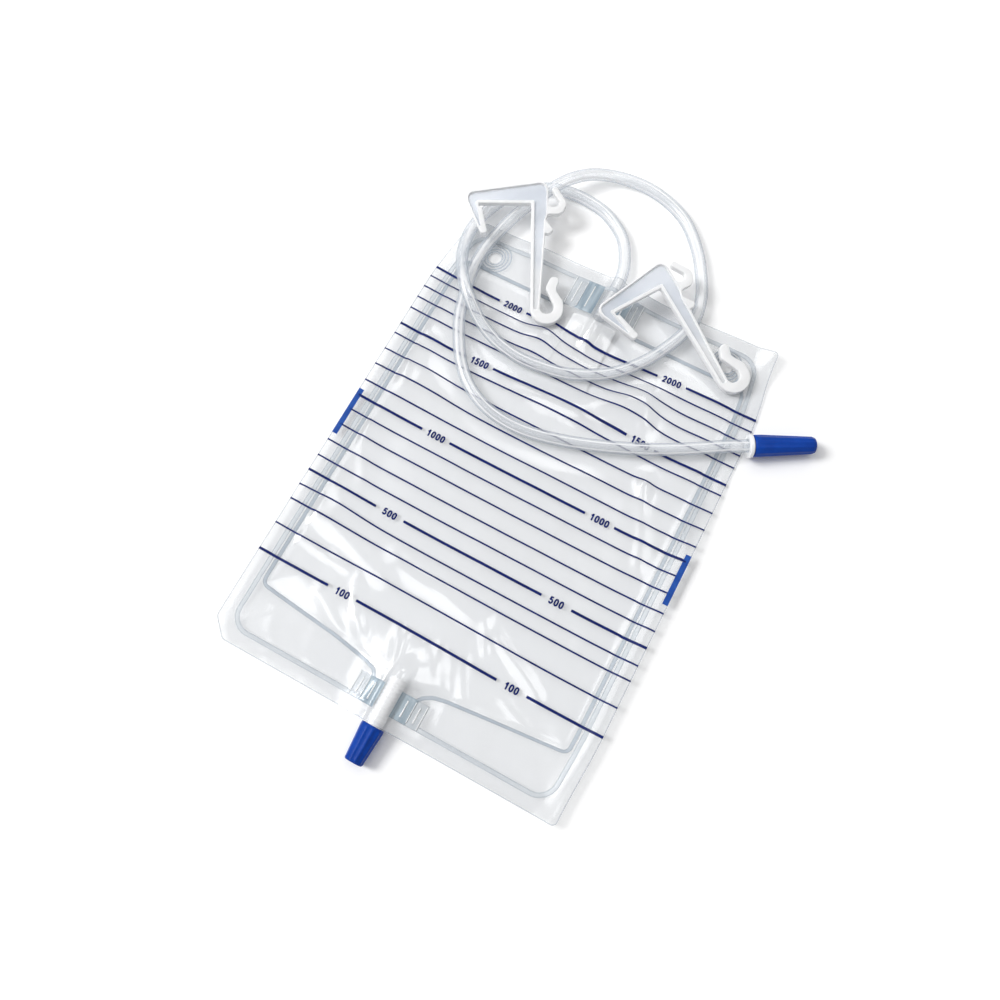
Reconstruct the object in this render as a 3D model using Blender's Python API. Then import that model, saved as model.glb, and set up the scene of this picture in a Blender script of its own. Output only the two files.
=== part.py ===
# Two-litre urine drainage bag, lying flat on its back with its tube looped over it.
# X runs across the bag, Y from the drain at the bottom to the inlet at the top, Z up.
# The origin is on the table, under the middle of the bag.
import math

import bpy
import bmesh
from mathutils import Matrix, Vector, geometry

MM = 0.001

# Bag films and their welds
BAG_WIDTH = 200 * MM
BAG_HEIGHT = 276 * MM
CORNER_CUT = 9 * MM
CORNER_ROUND = 4 * MM
RIGHT_CORNER_CUT = 1.6 * MM
RIGHT_CORNER_ROUND = 0.8 * MM
FILM = 0.25 * MM
CHAMBER_GAP = 1.4 * MM
MARGIN_GAP = 0.5 * MM
WELD_GAP = 0.3 * MM
WELD_WIDTH = 2.5 * MM
WELD_SHOULDER = 0.8 * MM
OUTER_WELD_INSET = 8.2 * MM
OUTER_WELD_CORNER = 10 * MM
INNER_WELD_INSET = 11.4 * MM
INNER_WELD_CORNER = 4 * MM
TOP_STRIP = 27 * MM
FUNNEL_SIDE = 34 * MM
FUNNEL_THROAT = 25.5 * MM
FUNNEL_HALF_WIDTH = 20 * MM
GRID = 16 * MM

# How far the films' edges stand off the table, and where the tube presses them down
EDGE_LIFT = 2.2 * MM
EDGE_RUN = 34 * MM
PRESS_REACH = 30 * MM
PRESSED_PLACES = (
    (100 * MM, 80 * MM),
    (82 * MM, 106 * MM),
    (44 * MM, 132 * MM),
    (-86 * MM, 133 * MM),
)

# How much more the right margin rises at its top corner and along its lower part
CURL_WIDTH = 14 * MM
CURL_TOP = 3.4 * MM
CURL_TOP_RUN = 22 * MM
CURL_LOW = 2.2 * MM
CURL_LOW_FROM = 48 * MM
CURL_LOW_RUN = 40 * MM

# Hanging eyelets, each a punched hole in stamped rings
EYELET_X = 75 * MM
EYELET_Y = 120 * MM
EYELET_HOLE = 3.4 * MM
EYELET_RINGS = (5.2 * MM, 6.6 * MM, 8.2 * MM, 9.8 * MM)

# Tube
TUBE_RADIUS = 3.45 * MM
TUBE_STEP = 14 * MM
WRAP_CLEARANCE = 0.3 * MM

# Inlet port, where the tube is welded between the films
INLET_X = -3 * MM
INLET_AXIS_Z = 4.4 * MM
INLET_DEPTH = 26.5 * MM
INLET_PADS = ((-26 * MM, -8 * MM), (1.5 * MM, 17 * MM))
INLET_PAD_FROM = OUTER_WELD_INSET - WELD_WIDTH / 2
INLET_PAD_TO = TOP_STRIP - WELD_WIDTH / 2

# Anti-reflux valve, two films under the inlet
VALVE_FILM = 0.15 * MM
VALVE_SEAT = 0.3 * MM
VALVE_TOP_BELOW_WELD = 1.8 * MM
VALVE_LENGTH = 39 * MM
VALVE_TOP_WIDTH = 26 * MM
VALVE_BOTTOM_WIDTH = 28.5 * MM

# Outlet body, its seal and the blue sleeve
OUTLET_X = -1.2 * MM
OUTLET_AXIS_Z = 6.4 * MM
OUTLET_RADIUS = 4.25 * MM
OUTLET_RIB = 0.45 * MM
OUTLET_RIBS = 11
OUTLET_DEPTH = 25 * MM
OUTLET_BORE = 3.0 * MM
OUTLET_PADS = ((-21 * MM, -6 * MM), (3.6 * MM, 18.5 * MM))
OUTLET_PAD_FROM = OUTER_WELD_INSET - WELD_WIDTH / 2
OUTLET_PAD_TO = 20.5 * MM
PORT_RUN = 23 * MM
PORT_SPREAD = 22 * MM
SLEEVE_START = 0.4 * MM
SLEEVE_LENGTH = 19.4 * MM
SLEEVE_RADIUS = 6.2 * MM
SLEEVE_END_RADIUS = 4.95 * MM
SLEEVE_MOUTH = 2.75 * MM
SLEEVE_FLUTES = 10
FLUTE_DEPTH = 0.4 * MM
SLEEVE_BORE_DEPTH = 12.0 * MM
SLIDE_CLEARANCE = 0.3 * MM
SEAL_THICKNESS = 1.5 * MM
SEAL_CLEARANCE = 0.1 * MM

# Connector and cap on the far end of the tube
CONNECTOR_PLACE = (101.6 * MM, 80.1 * MM, 8.0 * MM)
CONNECTOR_HEADING = math.radians(29.5)
CONNECTOR_DROOP = math.radians(2.8)
FLANGE_RADIUS = 6.4 * MM
FLANGE_THICKNESS = 2.4 * MM
SOCKET_DEPTH = 1.2 * MM
SOCKET_CLEARANCE = 0.45 * MM
CONNECTOR_BORE = 1.7 * MM
COLLAR_RADIUS = 4.4 * MM
NOZZLE_LENGTH = 25 * MM
CAP_RADIUS = 6.0 * MM
CAP_END_RADIUS = 4.75 * MM
CAP_LENGTH = 34 * MM
CAP_WALL = 1.1 * MM
CAP_FLUTES = 12
CAP_FLUTE_DEPTH = 0.2 * MM

# Hangers: one moulding, used twice
HANGER_THICKNESS = 4 * MM
HANGER_RIM = 1.2 * MM
HANGER_WEB = 1.6 * MM
HANGER_PLACES = {
    "hanger_left": ((-67.2 * MM, BAG_HEIGHT / 2 + 14.5 * MM, 16.8 * MM), 27.5, 8.05),
    "hanger_right": ((21.0 * MM, BAG_HEIGHT / 2 - 0.2 * MM, 17.3 * MM), 58.0, 8.5),
}

# Corners of the hanger's outline in millimetres, anticlockwise from the angle of arm and stem:
# along the arm, along the stem, rounding radius, and whether the recessed web reaches it
HANGER_CORNERS = (
    (0.0, 0.0, 1.0, True),
    (-0.2, -71.2, 9.0, True),
    (18.2, -71.2, 9.0, True),
    (18.2, -58.2, 5.0, True),
    (14.0, -51.6, 3.0, True),
    (16.4, -43.8, 2.2, True),
    (11.2, -43.8, 2.6, True),
    (8.2, -50.2, 3.0, True),
    (12.9, -60.5, 3.0, True),
    (12.4, -65.2, 3.3, True),
    (4.9, -65.2, 3.3, True),
    (8.0, -17.6, 0.6, True),
    (9.9, -18.3, 1.0, False),
    (12.6, -16.0, 1.2, False),
    (8.3, -9.6, 1.8, True),
    (9.6, -6.4, 1.5, True),
    (17.2, -6.4, 4.5, True),
    (20.6, 0.2, 4.6, True),
    (14.4, 10.2, 1.7, True),
    (10.9, 9.3, 1.6, True),
    (15.9, 1.2, 2.0, True),
    (14.6, -2.0, 2.0, True),
    (9.6, -2.0, 2.4, True),
    (9.7, 13.9, 5.0, True),
    (-37.4, 7.3, 4.2, True),
    (-36.6, 1.0, 3.0, True),
    (-28.2, -18.4, 1.5, True),
    (-24.8, -17.4, 1.4, True),
    (-28.0, -2.4, 0.8, True),
    (-29.9, -1.8, 0.5, True),
    (-29.7, 0.0, 0.6, True),
)

# The way the tube lies: across, up the bag and height of its centre, in millimetres
TUBE_ROUTE = (
    (-3.0, 111.5, 4.4),
    (-3.0, 125.0, 4.4),
    (-3.0, 139.0, 4.3),
    (-6.0, 151.0, 3.8),
    (-14.2, 164.6, 3.6),
    (-27.8, 174.0, 3.5),
    (-41.0, 177.4, 3.5),
    (-54.1, 177.6, 3.5),
    (-66.0, 174.6, 3.5),
    (-77.0, 167.6, 3.6),
    (-85.6, 157.0, 4.0),
    (-90.9, 143.0, 5.4),
    (-92.6, 128.1, 6.8),
    (-90.6, 115.7, 8.8),
    (-85.2, 103.2, 11.8),
    (-77.6, 92.2, 13.9),
    (-69.5, 84.6, 12.9),
    (-61.5, 78.6, 9.8),
    (-53.0, 74.4, 7.2),
    (-42.0, 70.9, 5.8),
    (-28.9, 69.1, 5.7),
    (-12.4, 70.7, 5.7),
    (1.0, 74.5, 5.7),
    (17.6, 84.0, 5.7),
    (29.8, 97.5, 5.8),
    (38.0, 112.1, 5.9),
    (43.0, 125.8, 5.7),
    (44.6, 138.0, 5.4),
    (41.6, 152.0, 4.4),
    (34.6, 166.2, 3.6),
    (26.4, 178.5, 3.5),
    (13.6, 191.4, 3.5),
    (-1.1, 198.7, 3.5),
    (-17.3, 201.7, 3.6),
    (-34.5, 199.0, 5.0),
    (-47.5, 191.0, 8.8),
    (-56.4, 180.7, 11.3),
    (-62.5, 170.8, 11.3),
    (-67.3, 161.3, 9.8),
    (-71.8, 152.9, 8.2),
    (-75.6, 143.5, 6.6),
    (-78.4, 132.6, 5.8),
    (-80.0, 121.3, 6.0),
    (-79.8, 108.9, 6.6),
    (-78.2, 98.0, 6.5),
    (-75.4, 86.6, 6.3),
    (-72.2, 76.4, 6.1),
    (-66.7, 65.4, 5.8),
    (-57.6, 51.8, 5.7),
    (-45.8, 40.9, 5.7),
    (-29.8, 33.9, 5.7),
    (-10.6, 32.4, 5.7),
    (11.2, 36.7, 5.7),
    (31.6, 43.7, 5.7),
    (53.8, 53.4, 5.8),
    (72.0, 62.9, 6.9),
    (86.0, 71.1, 8.2),
)


# General helpers

def smooth(value):
    """Ease from 0 to 1 as value goes from 0 to 1."""
    value = min(max(value, 0.0), 1.0)
    return value * value * (3 - 2 * value)


def blend(low, high, share):
    return low + (high - low) * share


def make_material(name, colour, roughness, metallic=0.0, alpha=1.0):
    material = bpy.data.materials.new(name)
    material.use_nodes = True
    shader = material.node_tree.nodes["Principled BSDF"]
    shader.inputs["Base Color"].default_value = (*colour, 1.0)
    shader.inputs["Roughness"].default_value = roughness
    shader.inputs["Metallic"].default_value = metallic
    shader.inputs["Alpha"].default_value = alpha
    return material


def make_object(name, bm, material, place=None, crease=35):
    """Turn a bmesh into one named, smooth-shaded object."""
    bmesh.ops.recalc_face_normals(bm, faces=bm.faces)
    mesh = bpy.data.meshes.new(name)
    bm.to_mesh(mesh)
    bm.free()
    mesh.shade_smooth()
    mesh.set_sharp_from_angle(angle=math.radians(crease))
    mesh.materials.append(material)
    piece = bpy.data.objects.new(name, mesh)
    bpy.context.collection.objects.link(piece)
    if place is not None:
        piece.matrix_world = place
    return piece


def inset_corners(corners, distance):
    """Move an anticlockwise outline's corners inwards, keeping its walls parallel."""
    moved = []
    for index, (x, y, radius) in enumerate(corners):
        here = Vector((x, y))
        arriving = (here - Vector(corners[index - 1][:2])).normalized()
        leaving = (Vector(corners[(index + 1) % len(corners)][:2]) - here).normalized()
        left_in = Vector((-arriving.y, arriving.x))
        left_out = Vector((-leaving.y, leaving.x))
        middle = (left_in + left_out).normalized()
        point = here + middle * (distance / max(middle.dot(left_in), 0.35))
        turns_left = arriving.cross(leaving) > 0
        new_radius = radius - distance if turns_left else radius + distance
        moved.append((point.x, point.y, max(new_radius, 0.2 * distance)))
    return moved


def rounded_loop(corners, turn_steps=12):
    """Outline through corners (x, y, radius), each rounded by an arc that its walls can hold."""
    loop = []
    for index, (x, y, radius) in enumerate(corners):
        here = Vector((x, y))
        back = Vector(corners[index - 1][:2]) - here
        ahead = Vector(corners[(index + 1) % len(corners)][:2]) - here
        half_angle = back.angle(ahead) / 2
        room = 0.49 * min(back.length, ahead.length)
        reach = min(radius / math.tan(half_angle), room)
        radius = reach * math.tan(half_angle)
        middle = (back.normalized() + ahead.normalized()).normalized()
        centre = here + middle * (radius / math.sin(half_angle))
        first = here + back.normalized() * reach - centre
        sweep = math.pi - 2 * half_angle
        if back.cross(ahead) > 0:
            sweep = -sweep
        steps = max(1, math.ceil(abs(sweep) / (2 * math.pi) * turn_steps))
        for step in range(steps + 1):
            arm = first.copy()
            arm.rotate(Matrix.Rotation(sweep * step / steps, 2))
            loop.append(centre + arm)
    return loop


def revolve(name, profile, segments, material, place, flutes=0):
    """Turn (along, radius, depth of flutes) points about local X.

    A point with no radius closes an end.
    """
    bm = bmesh.new()
    rings = []
    for along, radius, *depth in profile:
        if radius == 0:
            rings.append([bm.verts.new((along, 0, 0))])
            continue
        ring = []
        for step in range(segments):
            angle = 2 * math.pi * step / segments
            reach = radius
            if depth:
                reach -= depth[0] * math.sin(flutes * angle / 2) ** 2
            ring.append(bm.verts.new((along, reach * math.cos(angle), reach * math.sin(angle))))
        rings.append(ring)
    pairs = list(zip(rings, rings[1:]))
    if profile[0][1] > 0:
        pairs.append((rings[-1], rings[0]))
    for first, second in pairs:
        for step in range(segments):
            after = (step + 1) % segments
            if len(first) == 1:
                bm.faces.new((first[0], second[step], second[after]))
            elif len(second) == 1:
                bm.faces.new((first[step], second[0], first[after]))
            else:
                bm.faces.new((first[step], second[step], second[after], first[after]))
    return make_object(name, bm, material, place)


# Bag films

class Port:
    """A round piece that is welded between the films, along Y."""

    def __init__(self, x, axis_z, radius, inner_end, edge):
        self.x = x
        self.axis_z = axis_z
        self.inner_end = inner_end
        self.edge = edge
        self.inward = math.copysign(1.0, inner_end - edge)
        facets = math.radians(15)
        self.wrap = (radius + WRAP_CLEARANCE) / math.cos(facets)

    def share(self, y):
        """1 beside the piece, fading to 0 inside the chamber."""
        beyond = (y - self.inner_end) * self.inward - 1.5 * MM
        return 1 - smooth(beyond / PORT_RUN)

    def half_gap(self, x, y):
        across = x - self.x
        if abs(across) >= self.wrap:
            return 0.0
        return self.share(y) * math.sqrt(self.wrap ** 2 - across ** 2)

    def pull(self, x, y):
        """How strongly the films' middle is drawn to the piece's axis."""
        beside = (abs(x - self.x) - self.wrap) / PORT_SPREAD
        return self.share(y) * (1 - smooth(beside))

    def columns(self):
        """Lines along the piece that its wrapped film is folded on."""
        angles = (0, 30, 60, 82)
        offsets = [self.wrap * math.sin(math.radians(angle)) for angle in angles]
        offsets.append(self.wrap + 1.6 * MM)
        far = self.inner_end + self.inward * (PORT_RUN + 1.5 * MM)
        sides = [-offset for offset in offsets[:0:-1]] + offsets
        rows = [self.edge]
        rows += [blend(self.inner_end, far, share) for share in (0.0, 0.12, 0.3, 0.5, 0.7, 1.0)]
        return [[Vector((self.x + side, row)) for row in rows] for side in sides]


INLET = Port(INLET_X, INLET_AXIS_Z, TUBE_RADIUS, BAG_HEIGHT / 2 - INLET_DEPTH, BAG_HEIGHT / 2)
OUTLET = Port(OUTLET_X, OUTLET_AXIS_Z, OUTLET_RADIUS + OUTLET_RIB,
              OUTLET_DEPTH - BAG_HEIGHT / 2, -BAG_HEIGHT / 2)


def film_corners(inset, radius):
    x = BAG_WIDTH / 2 - inset
    y = BAG_HEIGHT / 2 - inset
    return [(-x, -y, radius), (x, -y, radius), (x, y, radius), (-x, y, radius)]


def outline_corners():
    """The bag's outline: a rectangle, its left corners cut off, its right ones just trimmed."""
    x = BAG_WIDTH / 2
    y = BAG_HEIGHT / 2
    cut = CORNER_CUT
    trim = RIGHT_CORNER_CUT
    right = [(x - trim, -y), (x, trim - y), (x, y - trim), (x - trim, y)]
    left = [(cut - x, y), (-x, y - cut), (-x, cut - y), (cut - x, -y)]
    return ([(*spot, RIGHT_CORNER_ROUND) for spot in right]
            + [(*spot, CORNER_ROUND) for spot in left])


def chamber_corners():
    """Inner weld: straight top and sides, and a shallow funnel down to the outlet."""
    x = BAG_WIDTH / 2 - INNER_WELD_INSET
    top = BAG_HEIGHT / 2 - TOP_STRIP
    side = FUNNEL_SIDE - BAG_HEIGHT / 2
    throat = FUNNEL_THROAT - BAG_HEIGHT / 2
    left = OUTLET_X - FUNNEL_HALF_WIDTH
    right = OUTLET_X + FUNNEL_HALF_WIDTH
    return [
        (-x, side, INNER_WELD_CORNER),
        (left, throat, 12 * MM),
        (OUTLET_X, OUTLET_PAD_TO - BAG_HEIGHT / 2 + 1.5 * MM, 6 * MM),
        (right, throat, 12 * MM),
        (x, side, INNER_WELD_CORNER),
        (x, top, INNER_WELD_CORNER),
        (-x, top, INNER_WELD_CORNER),
    ]


def weld_pads():
    """Rectangles beside the two ports where the films are welded flat to each other."""
    top = BAG_HEIGHT / 2
    pads = []
    for low, high in INLET_PADS:
        pads.append((low, high, top - INLET_PAD_TO, top - INLET_PAD_FROM))
    for low, high in OUTLET_PADS:
        pads.append((low, high, OUTLET_PAD_FROM - top, OUTLET_PAD_TO - top))
    return pads


WELD_LINES = (
    rounded_loop(film_corners(OUTER_WELD_INSET, OUTER_WELD_CORNER)),
    rounded_loop(chamber_corners()),
)
WELD_PADS = weld_pads()
EYELETS = (Vector((-EYELET_X, EYELET_Y)), Vector((EYELET_X, EYELET_Y)))


def distance_to_line(point, loop):
    nearest = math.inf
    for first, second in zip(loop, loop[1:] + loop[:1]):
        spot, share = geometry.intersect_point_line(point, first, second)
        spot = first.lerp(second, min(max(share, 0.0), 1.0))
        nearest = min(nearest, (spot - point).length)
    return nearest


def weld_share(x, y):
    """1 on a weld, 0 where the films lie free, with a short shoulder between."""
    point = Vector((x, y))
    off = min(distance_to_line(point, loop) for loop in WELD_LINES) - WELD_WIDTH / 2
    for low, high, bottom, top in WELD_PADS:
        outside = max(low - x, x - high, bottom - y, y - top)
        off = min(off, outside)
    return 1 - smooth(off / WELD_SHOULDER)


def eyelet_ring(x, y):
    """Share of the stamped step round an eyelet: up and down from ring to ring."""
    for centre in EYELETS:
        away = (Vector((x, y)) - centre).length
        if away > EYELET_RINGS[-1] + 0.1 * MM:
            continue
        passed = sum(1 for ring in EYELET_RINGS if away > ring - 0.1 * MM)
        return 1.0 if passed % 2 else 0.35
    return 0.0


def inside_chamber(x, y):
    return is_inside(Vector((x, y)), WELD_LINES[1])


def is_inside(point, loop):
    inside = False
    for first, second in zip(loop, loop[1:] + loop[:1]):
        if (first.y > point.y) != (second.y > point.y):
            cross_x = first.x + (point.y - first.y) * (second.x - first.x) / (second.y - first.y)
            if point.x < cross_x:
                inside = not inside
    return inside


def edge_lift(x, y):
    """Height of the films over the table: nothing in the middle, a little at the edges."""
    inward = min(BAG_WIDTH / 2 - abs(x), BAG_HEIGHT / 2 - abs(y))
    lift = EDGE_LIFT * (1 - smooth(inward / EDGE_RUN))
    for place in PRESSED_PLACES:
        away = (Vector((x, y)) - Vector(place)).length
        lift *= smooth(away / PRESS_REACH - 0.35)
    return lift + margin_curl(x, y)


def margin_curl(x, y):
    """The right margin rises further, but for where the tube's end rests on it."""
    margin = smooth(1 - (BAG_WIDTH / 2 - x) / CURL_WIDTH)
    top = CURL_TOP * smooth(1 - (BAG_HEIGHT / 2 - y) / CURL_TOP_RUN)
    low = CURL_LOW * smooth((CURL_LOW_FROM - y) / CURL_LOW_RUN)
    return margin * (top + low)


def film_levels(x, y):
    """Height of the middle between the films, and half the gap between them."""
    middle = FILM + CHAMBER_GAP / 2 + edge_lift(x, y)
    free_gap = CHAMBER_GAP if inside_chamber(x, y) else MARGIN_GAP
    half_gap = blend(free_gap, WELD_GAP, max(weld_share(x, y), eyelet_ring(x, y))) / 2
    for port in (INLET, OUTLET):
        middle = blend(middle, port.axis_z, port.pull(x, y))
        half_gap = max(half_gap, port.half_gap(x, y))
    return middle, half_gap


def ring_points(centre, radius, count=16):
    points = []
    for step in range(count):
        angle = 2 * math.pi * step / count
        points.append(centre + radius * Vector((math.cos(angle), math.sin(angle))))
    return points


def long_side_points(loop, spacing):
    """Add points along an outline's long straight sides."""
    points = []
    for first, second in zip(loop, loop[1:] + loop[:1]):
        parts = max(1, round((second - first).length / spacing))
        points += [first.lerp(second, part / parts) for part in range(parts)]
    return points


def valve_outline():
    top = BAG_HEIGHT / 2 - TOP_STRIP - VALVE_TOP_BELOW_WELD
    bottom = top - VALVE_LENGTH
    middle = INLET_X - 1 * MM
    return [
        Vector((middle - VALVE_TOP_WIDTH / 2, top)),
        Vector((middle - VALVE_BOTTOM_WIDTH / 2, bottom)),
        Vector((middle + VALVE_BOTTOM_WIDTH / 2, bottom)),
        Vector((middle + VALVE_TOP_WIDTH / 2, top)),
    ]


def near_fine_area(point):
    """Where the films have lines of their own, so that the plain grid keeps away."""
    for loop in WELD_LINES:
        if distance_to_line(point, loop) < WELD_WIDTH / 2 + WELD_SHOULDER + 1.5 * MM:
            return True
    for centre in EYELETS:
        if (point - centre).length < EYELET_RINGS[-1] + 2 * MM:
            return True
    for port in (INLET, OUTLET):
        depth = (point.y - port.edge) * port.inward
        reach = abs(port.inner_end - port.edge) + PORT_RUN + 4 * MM
        if abs(point.x - port.x) < port.wrap + 5 * MM and depth < reach:
            return True
    return False


def is_sliver(flat, face):
    """True for a triangle whose corners are all on one line, on the film's edge."""
    corners = [flat[corner] for corner in face]
    longest = max((first - second).length for first in corners for second in corners)
    return 2 * geometry.area_tri(*corners) < longest * 0.001 * MM


def film_layout():
    """Triangles of the flat film pattern, shared by all four films."""
    points = []
    edges = []

    def add_line(line, closed):
        start = len(points)
        points.extend(line)
        edges.extend((start + step, start + step + 1) for step in range(len(line) - 1))
        if closed:
            edges.append((start + len(line) - 1, start))

    outline = rounded_loop(outline_corners())
    add_line(long_side_points(outline, 2 * GRID), True)
    band = WELD_WIDTH / 2
    for corners in (film_corners(OUTER_WELD_INSET, OUTER_WELD_CORNER), chamber_corners()):
        for offset in (-band - WELD_SHOULDER, -band, band, band + WELD_SHOULDER):
            loop = rounded_loop(inset_corners(corners, offset))
            add_line(long_side_points(loop, 3 * GRID), True)
    for low, high, bottom, top in WELD_PADS:
        rectangle = [(low, bottom, 2 * MM), (high, bottom, 2 * MM),
                     (high, top, 2 * MM), (low, top, 2 * MM)]
        add_line(rounded_loop(rectangle, 8), True)
    for centre in EYELETS:
        for radius in (EYELET_HOLE,) + EYELET_RINGS:
            add_line(ring_points(centre, radius), True)
    for port in (INLET, OUTLET):
        for column in port.columns():
            add_line(column, False)
    add_line(long_side_points(valve_outline(), GRID), True)

    columns = int(BAG_WIDTH / GRID)
    rows = int(BAG_HEIGHT / GRID)
    for column in range(1, columns):
        for row in range(1, rows):
            x = -BAG_WIDTH / 2 + BAG_WIDTH * column / columns
            y = -BAG_HEIGHT / 2 + BAG_HEIGHT * row / rows
            point = Vector((x, y))
            if not near_fine_area(point):
                points.append(point)

    flat, _, faces, *_ = geometry.delaunay_2d_cdt(points, edges, [], 0, 1e-6)
    kept = []
    for face in faces:
        centre = sum((flat[corner] for corner in face), Vector((0, 0))) / 3
        in_hole = any((centre - eyelet).length < EYELET_HOLE * 0.98 for eyelet in EYELETS)
        if is_inside(centre, outline) and not in_hole and not is_sliver(flat, face):
            kept.append(tuple(face))
    return flat, kept


def film_solid(name, layout, levels, thickness, material):
    """Thin closed sheet over the chosen triangles, from its lower surface up."""
    flat, faces = layout
    bm = bmesh.new()
    lower = {}
    upper = {}
    sides = {}
    for face in faces:
        for corner in face:
            if corner not in lower:
                x, y = flat[corner]
                z = levels[corner]
                lower[corner] = bm.verts.new((x, y, z))
                upper[corner] = bm.verts.new((x, y, z + thickness))
        bm.faces.new([upper[corner] for corner in face])
        bm.faces.new([lower[corner] for corner in reversed(face)])
        for first, second in zip(face, face[1:] + face[:1]):
            if (second, first) in sides:
                del sides[(second, first)]
            else:
                sides[(first, second)] = True
    for first, second in sides:
        bm.faces.new((lower[first], lower[second], upper[second], upper[first]))
    return make_object(name, bm, material, crease=60)


def build_films(materials):
    flat, faces = film_layout()
    heights = [film_levels(point.x, point.y) for point in flat]
    layout = (flat, faces)
    back = [middle - half - FILM for middle, half in heights]
    front = [middle + half for middle, half in heights]
    film_solid("back_film", layout, back, FILM, materials["film"])
    film_solid("front_film", layout, front, FILM, materials["film"])

    outline = valve_outline()
    inner = []
    for face in faces:
        centre = sum((flat[corner] for corner in face), Vector((0, 0))) / 3
        if is_inside(centre, outline):
            inner.append(face)
    valve = (flat, inner)
    rear = [middle - half + VALVE_SEAT for middle, half in heights]
    fore = [middle + half - VALVE_SEAT - VALVE_FILM for middle, half in heights]
    film_solid("valve_back_film", valve, rear, VALVE_FILM, materials["valve_film"])
    film_solid("valve_front_film", valve, fore, VALVE_FILM, materials["valve_film"])


# Outlet with its push-pull sleeve

def outlet_place():
    """Local X runs out of the bag from its bottom edge."""
    return (Matrix.Translation((OUTLET_X, -BAG_HEIGHT / 2, OUTLET_AXIS_Z))
            @ Matrix.Rotation(-math.pi / 2, 4, "Z"))


def build_outlet(materials):
    bore = OUTLET_RADIUS + SLIDE_CLEARANCE
    plug = SLEEVE_MOUTH - SLIDE_CLEARANCE
    seat = SLEEVE_START + SLEEVE_BORE_DEPTH
    neck = 4 * MM + SLEEVE_START
    groove = OUTLET_RADIUS - 0.8 * MM
    nose = seat - 1.6 * MM
    profile = [
        (seat - 1 * MM, 0),
        (nose - 0.4 * MM, OUTLET_BORE),
        (-OUTLET_DEPTH, OUTLET_BORE),
        (-OUTLET_DEPTH, OUTLET_RADIUS),
    ]
    pitch = (OUTLET_DEPTH - 2 * MM) / OUTLET_RIBS
    for rib in range(OUTLET_RIBS):
        start = -OUTLET_DEPTH + 1 * MM + rib * pitch
        profile.append((start + 0.45 * pitch, OUTLET_RADIUS + OUTLET_RIB))
        profile.append((start + 0.95 * pitch, OUTLET_RADIUS))
    profile += [
        (neck, OUTLET_RADIUS),
        (neck, groove),
        (neck + SEAL_THICKNESS + 0.7 * MM, groove),
        (neck + SEAL_THICKNESS + 0.7 * MM, OUTLET_RADIUS),
        (nose, OUTLET_RADIUS),
        (seat, plug),
        (SLEEVE_START + SLEEVE_LENGTH - 2 * MM, plug),
        (SLEEVE_START + SLEEVE_LENGTH - 1.2 * MM, plug - 0.8 * MM),
        (SLEEVE_START + SLEEVE_LENGTH - 1.2 * MM, 0),
    ]
    body = revolve("outlet_body", profile, 20, materials["white"], outlet_place())
    window = (neck + SEAL_THICKNESS + 1.5 * MM, nose - 0.7 * MM)
    cut_windows(body, window)

    seal_centre = neck + 0.35 * MM + SEAL_THICKNESS / 2
    inner_radius = groove + SEAL_CLEARANCE
    outer_radius = bore - SEAL_CLEARANCE
    middle = (inner_radius + outer_radius) / 2
    ring = []
    for step in range(6):
        angle = 2 * math.pi * (step + 0.5) / 6
        reach = (outer_radius - inner_radius) / 2
        ring.append((seal_centre + SEAL_THICKNESS / 2 * math.cos(angle),
                     middle + reach * math.sin(angle)))
    revolve("outlet_seal", ring, 20, materials["rubber"], outlet_place())

    end = SLEEVE_START + SLEEVE_LENGTH
    sleeve = [
        (SLEEVE_START, bore),
        (SLEEVE_START, SLEEVE_RADIUS - 0.2 * MM),
        (SLEEVE_START + 0.8 * MM, SLEEVE_RADIUS, FLUTE_DEPTH),
        (end - 1.0 * MM, SLEEVE_END_RADIUS, 0.6 * FLUTE_DEPTH),
        (end, SLEEVE_END_RADIUS - 0.5 * MM),
        (end, SLEEVE_MOUTH + 0.4 * MM),
        (end - 0.6 * MM, SLEEVE_MOUTH),
        (seat + 1.2 * MM, SLEEVE_MOUTH),
        (seat - 0.3 * MM, bore),
    ]
    revolve("drain_sleeve", sleeve, 4 * SLEEVE_FLUTES, materials["blue"], outlet_place(),
            SLEEVE_FLUTES)


def cut_windows(body, span):
    """Four side windows that let the water out of the outlet body, round its nose."""
    low, high = span
    for turn in range(2):
        cutter_mesh = bmesh.new()
        bmesh.ops.create_cube(cutter_mesh, size=1.0)
        size = (high - low, 3 * OUTLET_RADIUS, 2.4 * MM)
        bmesh.ops.scale(cutter_mesh, vec=size, verts=cutter_mesh.verts)
        bmesh.ops.translate(cutter_mesh, vec=((low + high) / 2, 0, 0), verts=cutter_mesh.verts)
        place = outlet_place() @ Matrix.Rotation(turn * math.pi / 2, 4, "X")
        cutter = make_object("window_cutter_%d" % turn, cutter_mesh, body.data.materials[0], place)
        cutter.hide_render = True
        cutter.display_type = "WIRE"
        cut = body.modifiers.new("windows_%d" % turn, "BOOLEAN")
        cut.operation = "DIFFERENCE"
        cut.object = cutter


# Tube, connector and cap

def connector_place():
    """Local X runs out of the tube, through the connector and its cap."""
    return (Matrix.Translation(CONNECTOR_PLACE)
            @ Matrix.Rotation(CONNECTOR_HEADING, 4, "Z")
            @ Matrix.Rotation(CONNECTOR_DROOP, 4, "Y"))


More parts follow.
